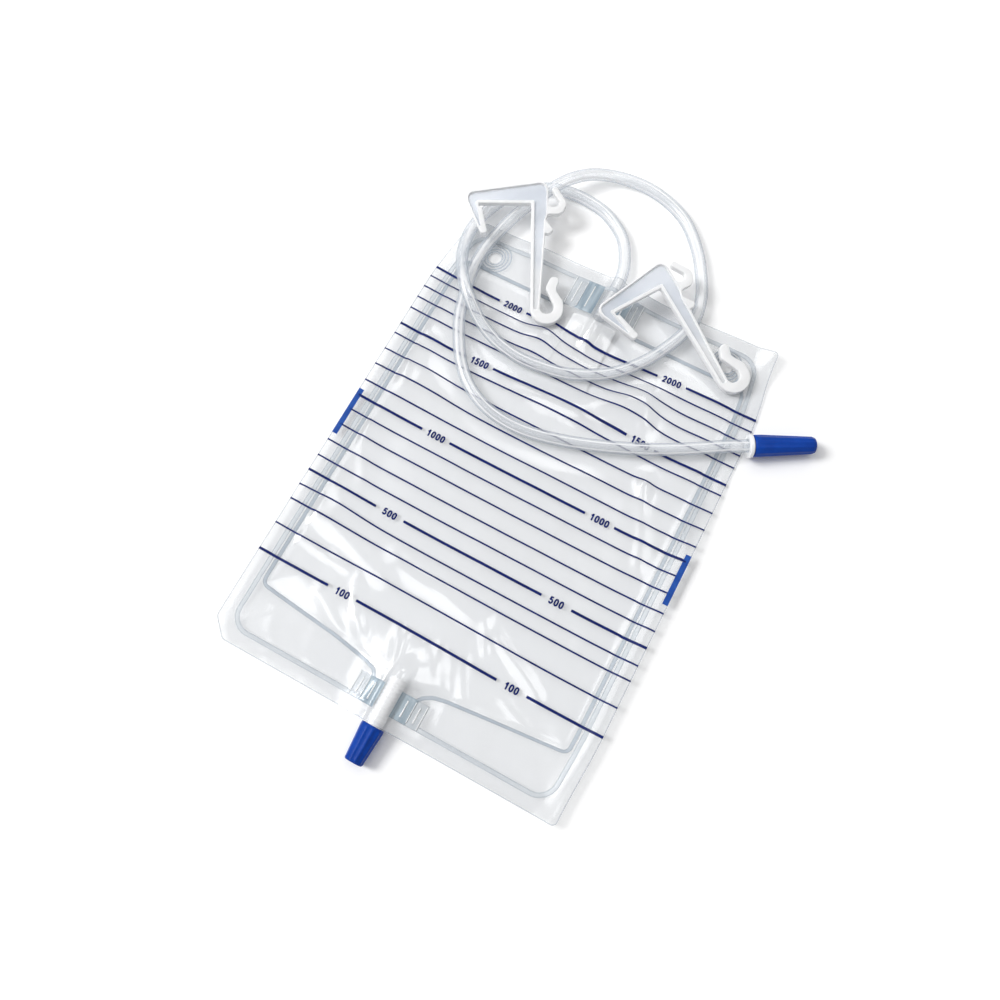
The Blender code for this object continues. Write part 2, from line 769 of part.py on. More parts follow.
def smooth_route(route, step):
    """Even points along a smooth curve through the route's points."""
    guides = [2 * route[0] - route[1]] + route + [2 * route[-1] - route[-2]]
    fine = []
    for index in range(len(route) - 1):
        before, start, end, after = guides[index:index + 4]
        for part in range(12):
            t = part / 12
            fine.append(0.5 * (2 * start + (end - before) * t
                               + (2 * before - 5 * start + 4 * end - after) * t ** 2
                               + (3 * start - before - 3 * end + after) * t ** 3))
    fine.append(route[-1])
    lengths = [0.0]
    for first, second in zip(fine, fine[1:]):
        lengths.append(lengths[-1] + (second - first).length)
    count = round(lengths[-1] / step)
    points = []
    place = 0
    for number in range(count + 1):
        wanted = lengths[-1] * number / count
        while place < len(fine) - 2 and lengths[place + 1] < wanted:
            place += 1
        span = lengths[place + 1] - lengths[place]
        points.append(fine[place].lerp(fine[place + 1], (wanted - lengths[place]) / span))
    return points


def tube_points():
    route = [MM * Vector(point) for point in TUBE_ROUTE]
    place = connector_place()
    end = place @ Vector((-0.4 * MM, 0, 0))
    before_end = place @ Vector((-9 * MM, 0, 0))
    return smooth_route(route + [before_end, end], TUBE_STEP)


def build_tube(materials):
    curve = bpy.data.curves.new("inlet_tube", "CURVE")
    curve.dimensions = "3D"
    curve.bevel_depth = TUBE_RADIUS
    curve.bevel_resolution = 3
    curve.use_fill_caps = True
    points = tube_points()
    spline = curve.splines.new("POLY")
    spline.points.add(len(points) - 1)
    for knot, point in zip(spline.points, points):
        knot.co = (*point, 1)
    curve.materials.append(materials["tube"])
    piece = bpy.data.objects.new("inlet_tube", curve)
    bpy.context.collection.objects.link(piece)


def build_connector(materials):
    face = FLANGE_THICKNESS / 2
    socket = TUBE_RADIUS + SOCKET_CLEARANCE
    collar_end = face + 1.8 * MM
    tip = collar_end + NOZZLE_LENGTH
    profile = [
        (0, CONNECTOR_BORE),
        (0, socket),
        (-SOCKET_DEPTH, socket),
        (-face, FLANGE_RADIUS - 0.5 * MM),
        (-face + 0.4 * MM, FLANGE_RADIUS),
        (face - 0.4 * MM, FLANGE_RADIUS),
        (face, FLANGE_RADIUS - 0.5 * MM),
        (face, COLLAR_RADIUS),
        (collar_end, COLLAR_RADIUS),
        (collar_end, COLLAR_RADIUS - 0.6 * MM),
    ]
    steps = ((0.36, 3.3), (0.38, 3.0), (0.7, 2.75), (0.72, 2.5), (1.0, 2.3))
    for share, radius in steps:
        profile.append((collar_end + share * NOZZLE_LENGTH, radius * MM))
    profile.append((tip, CONNECTOR_BORE))
    revolve("connector", profile, 20, materials["clear"], connector_place())

    start = face + 0.4 * MM
    end = start + CAP_LENGTH
    mouth = COLLAR_RADIUS + SLIDE_CLEARANCE + 0.1 * MM
    cap = [
        (end, 0),
        (end - 0.2 * MM, 0.55 * CAP_END_RADIUS),
        (end - 1.0 * MM, 0.85 * CAP_END_RADIUS),
        (end - 2.6 * MM, CAP_END_RADIUS, 0.5 * CAP_FLUTE_DEPTH),
        (start + 0.7 * MM, CAP_RADIUS, CAP_FLUTE_DEPTH),
        (start, CAP_RADIUS - 0.4 * MM),
        (start, mouth),
        (collar_end + 0.5 * MM, mouth),
        (collar_end + 3 * MM, COLLAR_RADIUS - 0.3 * MM),
        (end - CAP_WALL - 3 * MM, CAP_END_RADIUS - 1.3 * MM),
        (end - CAP_WALL, 0),
    ]
    revolve("connector_cap", cap, 2 * CAP_FLUTES, materials["blue"], connector_place(),
            CAP_FLUTES)


# Hangers

def hanger_outline(inset=0.0):
    """Anticlockwise outline in metres, or that of the recessed web when it is inset."""
    chosen = [corner for corner in HANGER_CORNERS if corner[3] or inset == 0]
    corners = [(x * MM, y * MM, radius * MM) for x, y, radius, _ in chosen]
    if inset:
        corners = inset_corners(corners, inset)
    return rounded_loop(corners, 10)


def build_hanger(name, place, material):
    outline = hanger_outline()
    recess = hanger_outline(HANGER_RIM)
    depth = (HANGER_THICKNESS - HANGER_WEB) / 2
    bm = bmesh.new()

    def ring(loop, z):
        return [bm.verts.new((point.x, point.y, z)) for point in loop]

    def walls(first, second):
        for index in range(len(first)):
            after = (index + 1) % len(first)
            bm.faces.new((first[index], first[after], second[after], second[index]))

    def fill(loops, rings):
        flat = [[point.to_3d() for point in loop] for loop in loops]
        verts = [vert for loop in rings for vert in loop]
        for triangle in geometry.tessellate_polygon(flat):
            bm.faces.new([verts[corner] for corner in triangle])

    outer_top = ring(outline, 0)
    outer_bottom = ring(outline, -HANGER_THICKNESS)
    walls(outer_bottom, outer_top)
    for rim, level, outer in ((0, -depth, outer_top),
                              (-HANGER_THICKNESS, depth - HANGER_THICKNESS, outer_bottom)):
        edge = ring(recess, rim)
        floor = ring(recess, level)
        fill((outline, recess), (outer, edge))
        walls(floor, edge)
        fill((recess,), (floor,))

    (x, y, z), heading, tilt = place
    matrix = (Matrix.Translation((x, y, z))
              @ Matrix.Rotation(math.radians(heading), 4, "Z")
              @ Matrix.Rotation(math.radians(tilt), 4, "X"))
    make_object(name, bm, material, matrix)


def main():
    for item in list(bpy.data.objects):
        bpy.data.objects.remove(item, do_unlink=True)
    materials = {
        "film": make_material("clear_film", (0.86, 0.88, 0.9), 0.25, alpha=0.4),
        "valve_film": make_material("valve_film", (0.93, 0.94, 0.95), 0.35, alpha=0.6),
        "white": make_material("white_plastic", (0.93, 0.93, 0.93), 0.4),
        "rubber": make_material("seal_rubber", (0.12, 0.12, 0.13), 0.7),
        "blue": make_material("blue_plastic", (0.01, 0.07, 0.45), 0.3),
        "tube": make_material("clear_tube", (0.9, 0.92, 0.94), 0.15, alpha=0.5),
        "clear": make_material("connector_plastic", (0.92, 0.93, 0.94), 0.25),
        "hanger": make_material("hanger_plastic", (0.86, 0.9, 0.95), 0.35),
    }
    build_films(materials)
    build_outlet(materials)
    build_tube(materials)
    build_connector(materials)
    for name, place in HANGER_PLACES.items():
        build_hanger(name, place, materials["hanger"])


main()
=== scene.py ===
# Looks for the two-litre urine drainage bag: films, welds, print, ports, tube and hangers.
import math

import bpy
import bmesh
import numpy as np
from mathutils import Matrix, Vector, geometry, noise


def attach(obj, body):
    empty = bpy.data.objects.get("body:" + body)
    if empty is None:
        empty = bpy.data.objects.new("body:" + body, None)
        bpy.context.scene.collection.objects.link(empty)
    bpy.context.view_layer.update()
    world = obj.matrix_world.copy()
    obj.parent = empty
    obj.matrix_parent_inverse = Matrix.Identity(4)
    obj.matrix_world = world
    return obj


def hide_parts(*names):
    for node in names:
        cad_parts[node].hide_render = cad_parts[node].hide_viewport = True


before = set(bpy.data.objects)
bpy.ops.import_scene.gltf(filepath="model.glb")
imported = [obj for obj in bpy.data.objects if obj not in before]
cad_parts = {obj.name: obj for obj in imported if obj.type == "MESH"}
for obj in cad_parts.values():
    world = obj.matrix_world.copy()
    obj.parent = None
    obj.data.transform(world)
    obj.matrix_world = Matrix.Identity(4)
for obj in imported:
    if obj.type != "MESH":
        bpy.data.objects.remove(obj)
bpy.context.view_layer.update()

MM = 0.001

# Camera: the photograph's place, with its right, up and backward directions
CAMERA_PLACE = (0.0675, -0.1245, 0.4578)
CAMERA_RIGHT = (0.88056, 0.47378, -0.01168)
CAMERA_UP = (-0.45097, 0.84524, 0.28670)
CAMERA_BACK = (0.14571, -0.24719, 0.95795)
CAMERA_LENS = 32.4
CAMERA_SENSOR = 36.0

# Tube
TUBE_RADIUS = 3.45 * MM
TUBE_STEP = 2.0 * MM
TUBE_SIDES = 28
TUBE_END = (9 * MM, 0.4 * MM)
SPLINE_PARTS = 12
STREAK_SIZE = 2.2
STREAK_STEP = 0.03

# The way the tube lies: across, up the bag and height of its centre, in millimetres
TUBE_ROUTE = (
    (-3.0, 111.5, 4.4),
    (-3.0, 125.0, 4.4),
    (-3.0, 139.0, 4.3),
    (-6.0, 151.0, 3.8),
    (-14.2, 164.6, 3.6),
    (-27.8, 174.0, 3.5),
    (-41.0, 177.4, 3.5),
    (-54.1, 177.6, 3.5),
    (-66.0, 174.6, 3.5),
    (-77.0, 167.6, 3.6),
    (-85.6, 157.0, 4.0),
    (-90.9, 143.0, 5.4),
    (-92.6, 128.1, 6.8),
    (-90.6, 115.7, 8.8),
    (-85.2, 103.2, 11.8),
    (-77.6, 92.2, 13.9),
    (-69.5, 84.6, 12.9),
    (-61.5, 78.6, 9.8),
    (-53.0, 74.4, 7.2),
    (-42.0, 70.9, 5.8),
    (-28.9, 69.1, 5.7),
    (-12.4, 70.7, 5.7),
    (1.0, 74.5, 5.7),
    (17.6, 84.0, 5.7),
    (29.8, 97.5, 5.8),
    (38.0, 112.1, 5.9),
    (43.0, 125.8, 5.7),
    (44.6, 138.0, 5.4),
    (41.6, 152.0, 4.4),
    (34.6, 166.2, 3.6),
    (26.4, 178.5, 3.5),
    (13.6, 191.4, 3.5),
    (-1.1, 198.7, 3.5),
    (-17.3, 201.7, 3.6),
    (-34.5, 199.0, 5.0),
    (-47.5, 191.0, 8.8),
    (-56.4, 180.7, 11.3),
    (-62.5, 170.8, 11.3),
    (-67.3, 161.3, 9.8),
    (-71.8, 152.9, 8.2),
    (-75.6, 143.5, 6.6),
    (-78.4, 132.6, 5.8),
    (-80.0, 121.3, 6.0),
    (-79.8, 108.9, 6.6),
    (-78.2, 98.0, 6.5),
    (-75.4, 86.6, 6.3),
    (-72.2, 76.4, 6.1),
    (-66.7, 65.4, 5.8),
    (-57.6, 51.8, 5.7),
    (-45.8, 40.9, 5.7),
    (-29.8, 33.9, 5.7),
    (-10.6, 32.4, 5.7),
    (11.2, 36.7, 5.7),
    (31.6, 43.7, 5.7),
    (53.8, 53.4, 5.8),
    (72.0, 62.9, 6.9),
    (86.0, 71.1, 8.2),
)

# Connector and cap
CONNECTOR_PLACE = (101.6 * MM, 80.1 * MM, 8.0 * MM)
CONNECTOR_HEADING = math.radians(29.5)
CONNECTOR_DROOP = math.radians(2.8)
FLANGE_RADIUS = 6.4 * MM
FLANGE_THICKNESS = 2.4 * MM
FLANGE_EDGE = 0.4 * MM
FLANGE_FRONT_EDGE = 0.5 * MM
COLLAR_RADIUS = 4.4 * MM
COLLAR_LENGTH = 1.8 * MM
COLLAR_STEP = 0.6 * MM
NOZZLE_LENGTH = 25 * MM
CONNECTOR_SIDES = 64
CAP_GAP = 0.4 * MM
CAP_CLEARANCE = 0.1 * MM
CAP_RADIUS = 6.0 * MM
CAP_END_RADIUS = 4.75 * MM
CAP_LENGTH = 34 * MM
CAP_FLUTES = 12
CAP_FLUTE_SIDES = 12
CAP_FLUTE_DEPTH = 0.28 * MM
CAP_SKIRT = 4.5 * MM
CAP_LIP = 0.7 * MM
CAP_EDGE = 0.4 * MM
CAP_NARROWING = 0.3 * MM
CAP_WALL = 1.3 * MM
CAP_END_WALL = 1.1 * MM
CAP_HOLLOW_CONE = 4.1 * MM
NOZZLE_BORE = 1.7 * MM
SOCKET_DEPTH = 1.2 * MM
SOCKET_CLEARANCE = 0.25 * MM

# Past the collar, how far the cap's mouth stays wide, and where it has narrowed
CAP_SEAT = (0.5 * MM, 3 * MM)

# Closed end of the cap: millimetres below its top, share of its end radius, share of the flutes
CAP_DOME = ((0.2, 0.55, 0.0), (1.0, 0.85, 0.0), (2.6, 1.0, 0.6))

# Steps of the nozzle: share of its length, and radius in millimetres
NOZZLE_STEPS = ((0.36, 3.3), (0.38, 3.0), (0.7, 2.75), (0.72, 2.5), (1.0, 2.3))

# Rounding of turned pieces, and how near their points are merged
TURNED_ROUNDING = 0.25 * MM
SEAM_GAP = 0.01 * MM

# Films
HALF_WIDTH = 100 * MM
HALF_HEIGHT = 138 * MM
CORNER_CUT = 9 * MM
CORNER_ROUND = 4 * MM
RIGHT_CORNER_CUT = 1.6 * MM
RIGHT_CORNER_ROUND = 0.8 * MM
FILM = 0.25 * MM
CHAMBER_GAP = 1.4 * MM
MARGIN_GAP = 0.5 * MM
WELD_GAP = 0.3 * MM
WELD_WIDTH = 2.5 * MM
OUTER_WELD_INSET = 8.2 * MM
OUTER_WELD_CORNER = 10 * MM
INNER_WELD_INSET = 11.4 * MM
INNER_WELD_CORNER = 4 * MM
WELD_BANDS = (2.1 * MM, 1.7 * MM)
WELD_HEIGHT = 0.1 * MM
BAND_BORDER = 0.3 * MM
EDGE_LINE_LIFT = 0.15 * MM
WELD_LINE = 0.32 * MM
EDGE_LINE = 0.4 * MM
EDGE_LINE_INSET = 0.25 * MM
TOP_STRIP = 27 * MM
FUNNEL_SIDE = 34 * MM
FUNNEL_THROAT = 25.5 * MM
FUNNEL_HALF_WIDTH = 20 * MM
FUNNEL_BEND = 12 * MM
FUNNEL_END = -116 * MM
FUNNEL_END_BEND = 6 * MM
GRID = 1.6 * MM
FINE_GRID = 0.6 * MM
FINE_FROM = -13 * MM
FINE_TO = 9 * MM
CORNER_ROWS = 8
TRIMMED_ROWS = 4
EDGE_TURN_STEPS = 6
BACK_FILM_HEIGHT = 0.12 * MM

# How far the films' edges stand off the table, and where the tube presses them down
EDGE_LIFT = 2.2 * MM
EDGE_RUN = 34 * MM
PRESS_REACH = 30 * MM
PRESS_CORE = 0.35
PRESSED_PLACES = ((100, 80), (82, 106), (44, 132), (-86, 133))

# How much further the right margin curls up, at its top corner and along its lower part
CURL_WIDTH = 14 * MM
CURL_TOP = 3.4 * MM
CURL_TOP_RUN = 22 * MM
CURL_LOW = 2.2 * MM
CURL_LOW_FROM = 48 * MM
CURL_LOW_RUN = 40 * MM

# The film is smooth where the tube rests on it, up to this height of the tube's centre
RESTING_TUBE = 9 * MM
TUBE_REACH = 4 * MM
TUBE_RUN = 14 * MM

# Where the film bulges or dips: across, up, half width, half height, all in millimetres,
# and how far the print there moves up the bag
BULGES = (
    (-26, 92, 9, 16, 2.2),
    (6, 97, 14, 12, -2.0),
    (36, 75, 14, 14, 2.2),
    (64, 70, 14, 20, -0.6),
    (-75, 33, 30, 14, 1.6),
    (-80, -50, 22, 8, 1.6),
    (-20, -85, 60, 24, 1.2),
    (0, 62, 50, 18, 1.9),
    (-60, 75, 30, 14, 0.6),
    (-60, 100, 60, 8, -1.3),
    (30, 99, 20, 8, -1.0),
)

BULGE_RELIEF = 0.9
PRINT_SHIFT = -0.7 * MM
PRINT_SLOPE = 0.007
PRINT_SAG = 0.8 * MM
PRINT_END = 100 * MM
PRINT_FADE = 12 * MM

# Soft waves in the front film, in millimetres: size across and up the bag, seed, slant, height
WAVES = (
    (52, 38, 3.1, 0.0, 0.8),
    (17, 38, 7.7, 0.5, 0.25),
    (8, 12, 1.9, 0.0, 0.05),
)

# Rays in the front film that spread from the outlet
RAY_CENTRE_Y = -114 * MM
RAY_COUNT = 11
RAY_SWAY = 2.2
RAY_SWAYS = 3
RAY_TURN = 9 * MM
RAY_START = 12 * MM
RAY_CLEAR = 0.3
RAY_RUN = 32 * MM
RAY_HEIGHT = 0.36 * MM

# How the relief of the front film fades: by the welds and pads, in the margin and by the inlet
WELD_SHOULDER = 3 * MM
PAD_SHOULDER = 2.4 * MM
RELIEF_START = 1 * MM
RELIEF_RUN = 14 * MM
RELIEF_RISE = 0.4 * MM
RELIEF_FLOOR = -0.35
RELIEF_SOFTNESS = 0.3 * MM
MARGIN_RELIEF = 0.22
MARGIN_CREASE = 0.5
INLET_CALM = 45 * MM
PORT_SOFTNESS = 0.3 * MM
PORT_BLEND = 0.6 * MM

# How far the corners of the bag are drawn in: from where, over which run, and how much
CORNER_FROM = (20 * MM, 88 * MM)
CORNER_RUN = (80 * MM, 50 * MM)
DRAWN_TOP_RIGHT = 5.6 * MM
DRAWN_LOW_RIGHT = 1.8 * MM
DRAWN_TOP_LEFT = 3 * MM
MARGIN_FROM = 80 * MM

# Creases of the front film: from and to in millimetres, half width, and height
CREASES = (
    (-88, -56, -38, -70, 5.5, 1.5),
    (-84, -73, -56, -77, 3.0, 0.7),
    (-30, -61, 14, -66, 6.0, 1.4),
    (22, -64, 29, -79, 2.4, 0.7),
    (32, -70, 62, -86, 3.2, 0.9),
    (-86, -4, -71, -31, 3.8, 0.9),
    (44, 76, 62, 38, 5.0, 1.5),
    (62, 38, 78, -2, 4.0, 1.2),
    (-20, 60, 14, 55, 6.5, 2.0),
    (-84, 61, -66, 60, 3.6, 0.6),
    (-86, 44, -81, 26, 3.0, 0.7),
    (-46, -80, -34, -100, 3.2, 0.9),
    (-60, -94, -42, -106, 3.2, 0.8),
    (-36, -96, -22, -108, 3.0, 0.6),
    (-14, -90, -8, -106, 2.8, 0.5),
    (9, -90, 18, -107, 3.2, 0.7),
    (22, -88, 30, -104, 3.4, 0.65),
    (-2, -84, 0, -104, 2.6, 0.5),
    (50, -96, 66, -102, 3.2, 0.6),
    (-76, -110, -68, -134, 3.2, 0.45),
    (-52, -114, -46, -130, 3.2, 0.4),
    (22, -118, 27, -133, 2.4, 0.45),
    (-74, 102, -66, 90, 2.8, 0.6),
    (-34, 20, 40, 24, 8.0, 0.7),
    (-70, 2, -10, -8, 8.0, 0.6),
    (0, -30, 70, -38, 9.0, 0.7),
)

CREASE_SWAY = 0.12
CREASE_TURN = 6 * MM
CREASE_END = 1.6

# Eyelets
EYELETS = ((-75 * MM, 120 * MM), (75 * MM, 120 * MM))
EYELET_HOLE = 3.4 * MM
EYELET_RINGS = (4.4 * MM, 6.0 * MM, 7.8 * MM, 9.6 * MM)
EYELET_BAND = 0.8 * MM

# Ports: the inlet's tube and the outlet's body lie between the films, along Y
INLET_X = -3 * MM
INLET_AXIS_Z = 4.4 * MM
INLET_INNER_END = 111.5 * MM
OUTLET_X = -1.2 * MM
OUTLET_AXIS_Z = 6.4 * MM
OUTLET_INNER_END = -113 * MM
OUTLET_RADIUS = 4.25 * MM
OUTLET_RIB = 0.45 * MM
PORT_RUN = 23 * MM
PORT_SPREAD = 22 * MM
PORT_LEAD = 1.5 * MM
DOME_SPREAD = 1.3
DOME_POWER = 2.4
WRAP_CLEARANCE = 0.35 * MM
PADS = (
    (-26, -8, 112.25, 131.05),
    (1.5, 17, 112.25, 131.05),
    (-21, -6, -131.05, -117.5),
    (3.6, 18.5, -131.05, -117.5),
)

PAD_HEIGHT = 0.3 * MM
PATCH_BASE = 0.08 * MM
PATCH_BORDER = 0.7 * MM
PATCH_STEP = 0.9 * MM
RIB_HEIGHT = 0.7 * MM
RIB_STEP = 0.8 * MM

# A pad's outer part is paler; its ribs, drawn near-white as painted highlight: share of the way to
# the port, inset from its ends, width
PAD_SPLIT = 0.42
PAD_RIBS = ((0.04, 0.6, 0.6), (0.24, 2.6, 0.8), (0.44, 1.2, 0.5), (0.70, 2.4, 0.9))

# The chamber's weld runs from one port's pads to the other's: across, up, rounding, in millimetres
CHAMBER_WELDS = (
    ((-25.2, 113.0, 0), (-26.6, 111.0, 1.5), (-88.6, 111, 4), (-88.6, -104, 4),
     (-42.8, -108.9, 60), (-21.1, -112.7, 12), (-15.3, -114.7, 3), (-12.8, -118.2, 0)),
    ((11.3, -118.6, 0), (13.0, -115.8, 3), (17.7, -112.8, 4), (24.4, -111.3, 12),
     (88.6, -104, 4), (88.6, 111, 4), (17.6, 111.0, 1.5), (16.4, 113.0, 0)),
)

# Sleeve
SLEEVE_START = 0.4 * MM
SLEEVE_LENGTH = 19.4 * MM
SLEEVE_RADIUS = 6.2 * MM
SLEEVE_END_RADIUS = 4.95 * MM
SLEEVE_MOUTH = 2.75 * MM
SLEEVE_SHOULDER = 1.6 * MM
SLEEVE_LIP = 0.7 * MM
SLEEVE_FLUTES = 10
SLEEVE_FLUTE_SIDES = 14
SLEEVE_FLUTE_DEPTH = 0.42 * MM
SLEEVE_BORE_DEPTH = 12.0 * MM
SLIDE_CLEARANCE = 0.3 * MM

# How much the sleeve's radius steps in at its near end and at its far one
SLEEVE_EDGES = (0.2 * MM, 0.5 * MM)

# Where the sleeve's bore narrows to its mouth, before and after the bore's depth
SLEEVE_SEAT = (-0.3 * MM, 1.2 * MM)

# Bevel of the mouth: along the sleeve and across it
MOUTH_BEVEL = (0.6 * MM, 0.4 * MM)

# Valve
VALVE_X = -4 * MM
VALVE_TOP = 109.2 * MM
VALVE_BOTTOM = 70.2 * MM
VALVE_TOP_WIDTH = 26 * MM
VALVE_BOTTOM_WIDTH = 28.5 * MM
VALVE_HALF_GAP = 0.22 * MM
VALVE_FACE = 0.35 * MM
VALVE_RIPPLE = 0.12 * MM
VALVE_WAVE = 2.1 * MM
VALVE_SEAM = 0.9 * MM
VALVE_COLUMNS = 17
VALVE_ROWS = 25
VALVE_SEAMS = (
    ((-15.8, 108.6), (-16.4, 90), (-17.4, 71)),
    ((8.0, 108.6), (8.6, 90), (9.4, 71)),
)

# Hangers
HANGER_THICKNESS = 4 * MM
HANGER_WEB = 1.6 * MM
HANGER_ROUNDING = 0.5 * MM
HANGER_ROUNDING_STEPS = 3
SMALLEST_ROUND = 0.15 * MM
RECESS_SLOPE = 0.45 * MM
HANGER_PLACES = {
    "hanger_left": ((-67.2 * MM, 152.5 * MM, 16.8 * MM), 27.5, 8.05),
    "hanger_right": ((21.0 * MM, 137.8 * MM, 17.3 * MM), 58.0, 8.5),
}

# Corners of the hanger's outline in millimetres, anticlockwise from the angle of arm and stem:
# along the arm, along the stem, and rounding radius
HANGER_CORNERS = (
    (0.0, 0.0, 1.0),
    (-0.2, -71.2, 9.0),
    (18.2, -71.2, 9.0),
    (18.2, -58.2, 5.0),
    (14.0, -51.6, 3.0),
    (16.4, -43.8, 2.2),
    (11.2, -43.8, 2.6),
    (8.2, -50.2, 3.0),
    (12.9, -60.5, 3.0),
    (12.4, -65.2, 3.3),
    (4.9, -65.2, 3.3),
    (8.0, -17.6, 0.6),
    (9.9, -18.3, 1.0),
    (12.6, -16.0, 1.2),
    (8.3, -9.6, 1.8),
    (9.6, -6.4, 1.5),
    (17.2, -6.4, 4.5),
    (20.6, 0.2, 4.6),
    (14.4, 10.2, 1.7),
    (10.9, 9.3, 1.6),
    (15.9, 1.2, 2.0),
    (14.6, -2.0, 2.0),
    (9.6, -2.0, 2.4),
    (9.7, 13.9, 5.0),
    (-37.4, 7.3, 4.2),
    (-36.6, 1.0, 3.0),
    (-28.2, -18.4, 1.5),
    (-24.8, -17.4, 1.4),
    (-28.0, -2.4, 0.8),
    (-29.9, -1.8, 0.5),
    (-29.7, 0.0, 0.6),
)

# Corners of the recess in its arm and stem, which leaves a wide rim along the inner edge
HANGER_RECESS = (
    (1.7, 1.8, 0.6),
    (1.3, -63.0, 1.2),
    (4.2, -63.0, 1.2),
    (7.3, -18.5, 2.0),
    (7.5, -10.5, 1.5),
    (8.9, -6.0, 1.5),
    (9.0, 13.0, 4.2),
    (-36.5, 6.4, 3.4),
    (-35.7, 1.2, 2.0),
    (-29.4, -13.8, 0.8),
    (-28.2, -13.6, 0.6),
    (-30.7, -1.3, 1.0),
    (-31.2, 1.8, 0.8),
)

# Print: heights of the scale's lines up the bag, in millimetres
SCALE_LINES = {
    100: -89.0, 200: -73.2, 300: -58.5, 400: -50.0, 500: -40.1,
    600: -30.6, 700: -20.5, 800: -9.8, 900: 0.2, 1000: 9.4,
    1100: 18.7, 1200: 29.2, 1300: 39.7, 1400: 51.0, 1500: 57.8,
    1600: 68.9, 1700: 76.7, 1800: 84.4, 1900: 92.1, 2000: 99.1,
}
NUMBERED_LINES = (100, 500, 1000, 1500, 2000)
THICK_LINE = 1.45 * MM
THIN_LINE = 0.90 * MM
NUMBER_X = 49.5 * MM
NUMBER_GAP = 17 * MM
DIGIT_HEIGHT = 3.3 * MM
DIGIT_WIDTH = 1.55 * MM
DIGIT_PITCH = 2.85 * MM
DIGIT_PEN = 0.91 * MM
DIGIT_STEP = 0.3 * MM
BAR_WIDTH = 3 * MM
BAR_FROM = -16 * MM
BAR_TO = 13 * MM
INK_LIFT = 0.20 * MM
INK_STEP = 1.5 * MM

# Digits as pen strokes in a box from 0 to 1: whether the stroke is closed, and its points
DIGIT_STROKES = {
    "0": ((True, ((0.5, 0), (0.84, 0.08), (1, 0.3), (1, 0.7), (0.84, 0.92), (0.5, 1),
                  (0.16, 0.92), (0, 0.7), (0, 0.3), (0.16, 0.08))),),
    "1": ((False, ((0.72, -0.1), (0.72, 1.08))),
          (False, ((0.08, 0.66), (0.42, 0.8), (0.66, 1.02)))),
    "2": ((False, ((0.02, 0.72), (0.12, 0.92), (0.48, 1), (0.84, 0.92), (0.97, 0.72),
                   (0.84, 0.48), (0.44, 0.24), (0.06, 0.0))),
          (False, ((-0.14, 0), (1.08, 0)))),
    "5": ((False, ((1.0, 1), (0.16, 1))),
          (False, ((0.2, 1.08), (0.06, 0.5), (0.44, 0.66), (0.84, 0.56), (1, 0.32),
                   (0.84, 0.08), (0.46, 0), (0.12, 0.06), (-0.02, 0.26)))),
}

# Tube's tones from its middle line (0) to its outline (1): place, opacity and colour.
# The white bands are painted highlights; the grey towards the outline is painted shade.
TUBE_PAINTED_TONES = (
    (0.0, 0.24, (0.86, 0.89, 0.93)),
    (0.10, 0.22, (0.87, 0.90, 0.95)),
    # painted highlight: a white band on each side of the clear middle
    (0.15, 0.60, (0.985, 0.99, 1.0)),
    (0.24, 0.60, (0.985, 0.99, 1.0)),
    (0.31, 0.26, (0.84, 0.875, 0.93)),
    # painted shade: greyer towards the outline
    (0.50, 0.34, (0.70, 0.75, 0.81)),
    (1.0, 0.60, (0.46, 0.51, 0.56)),
)

# How fast the gloss of clear pieces grows towards their outline, and where along a hanger's
# stem its web turns from white to bluish: painted shade that darkens the web by the arm.
GLOSS_POWER = 5.0
WEB_SHADE_FADE = (-48 * MM, -20 * MM)

# Uneven plastic: the band of the noise that counts, how much finer the skin is than the
# clouds, how far the roughness varies, and the roughness of a coat
CLOUD_LOW = 0.3
CLOUD_HIGH = 0.7
SKIN_FINENESS = 12
ROUGHNESS_SPREAD = (0.85, 1.2)
COAT_ROUGHNESS = 0.12

# Floor and light
FLOOR_HALF = 6.0
FLOOR_COLOUR = (0.97, 0.97, 0.97)
FLOOR_GLOW = 0.04
FLOOR_GLOW_RUN = (0.18, 0.9)
WORLD_LIGHT = 0.26

# Lamps: place in metres, side of the square in metres, and power in watts
LAMPS = {
    "key": ((-2.1, -0.56, 2.38), 1.1, 72),
    "left panel": ((-1.3, 0.55, 2.1), 0.85, 5.2),
    "right panel": ((0.7, 0.5, 2.1), 0.85, 5.2),
    "front panel": ((-0.55, -0.62, 2.1), 0.85, 5.2),
    "back panel": ((-0.3, 1.8, 2.1), 0.85, 5.2),
}


# Camera

def place_camera():
    data = bpy.data.cameras.new("camera")
    data.lens = CAMERA_LENS
    data.sensor_width = CAMERA_SENSOR
    data.clip_start = 0.01
    camera = bpy.data.objects.new("camera", data)
    bpy.context.scene.collection.objects.link(camera)
    axes = Matrix((CAMERA_RIGHT, CAMERA_UP, CAMERA_BACK)).transposed()
    camera.matrix_world = Matrix.Translation(CAMERA_PLACE) @ axes.to_4x4()
    bpy.context.scene.camera = camera


# Helpers

def smooth(value):
    value = np.clip(value, 0.0, 1.0)
    return value * value * (3 - 2 * value)


def soft_max(first, second, softness):
    """The larger of two values, rounded where they meet."""
    return (first + second + np.sqrt((first - second) ** 2 + softness ** 2)) / 2


def add_piece(name, mesh, materials, body="bag", crease=None, place=Matrix()):
    """Show a mesh, smooth-shaded, as a piece that rides on a body."""
    mesh.shade_smooth()
    if crease:
        mesh.set_sharp_from_angle(angle=math.radians(crease))
    for material in materials:
        mesh.materials.append(material)
    piece = bpy.data.objects.new(name, mesh)
    bpy.context.scene.collection.objects.link(piece)
    piece.matrix_world = place
    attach(piece, body)
    return piece


def make_piece(name, verts, faces, material, body="bag", crease=None):
    mesh = bpy.data.meshes.new(name)
    mesh.from_pydata([tuple(vert) for vert in verts], [], faces)
    mesh.update()
    return add_piece(name, mesh, [material], body, crease)


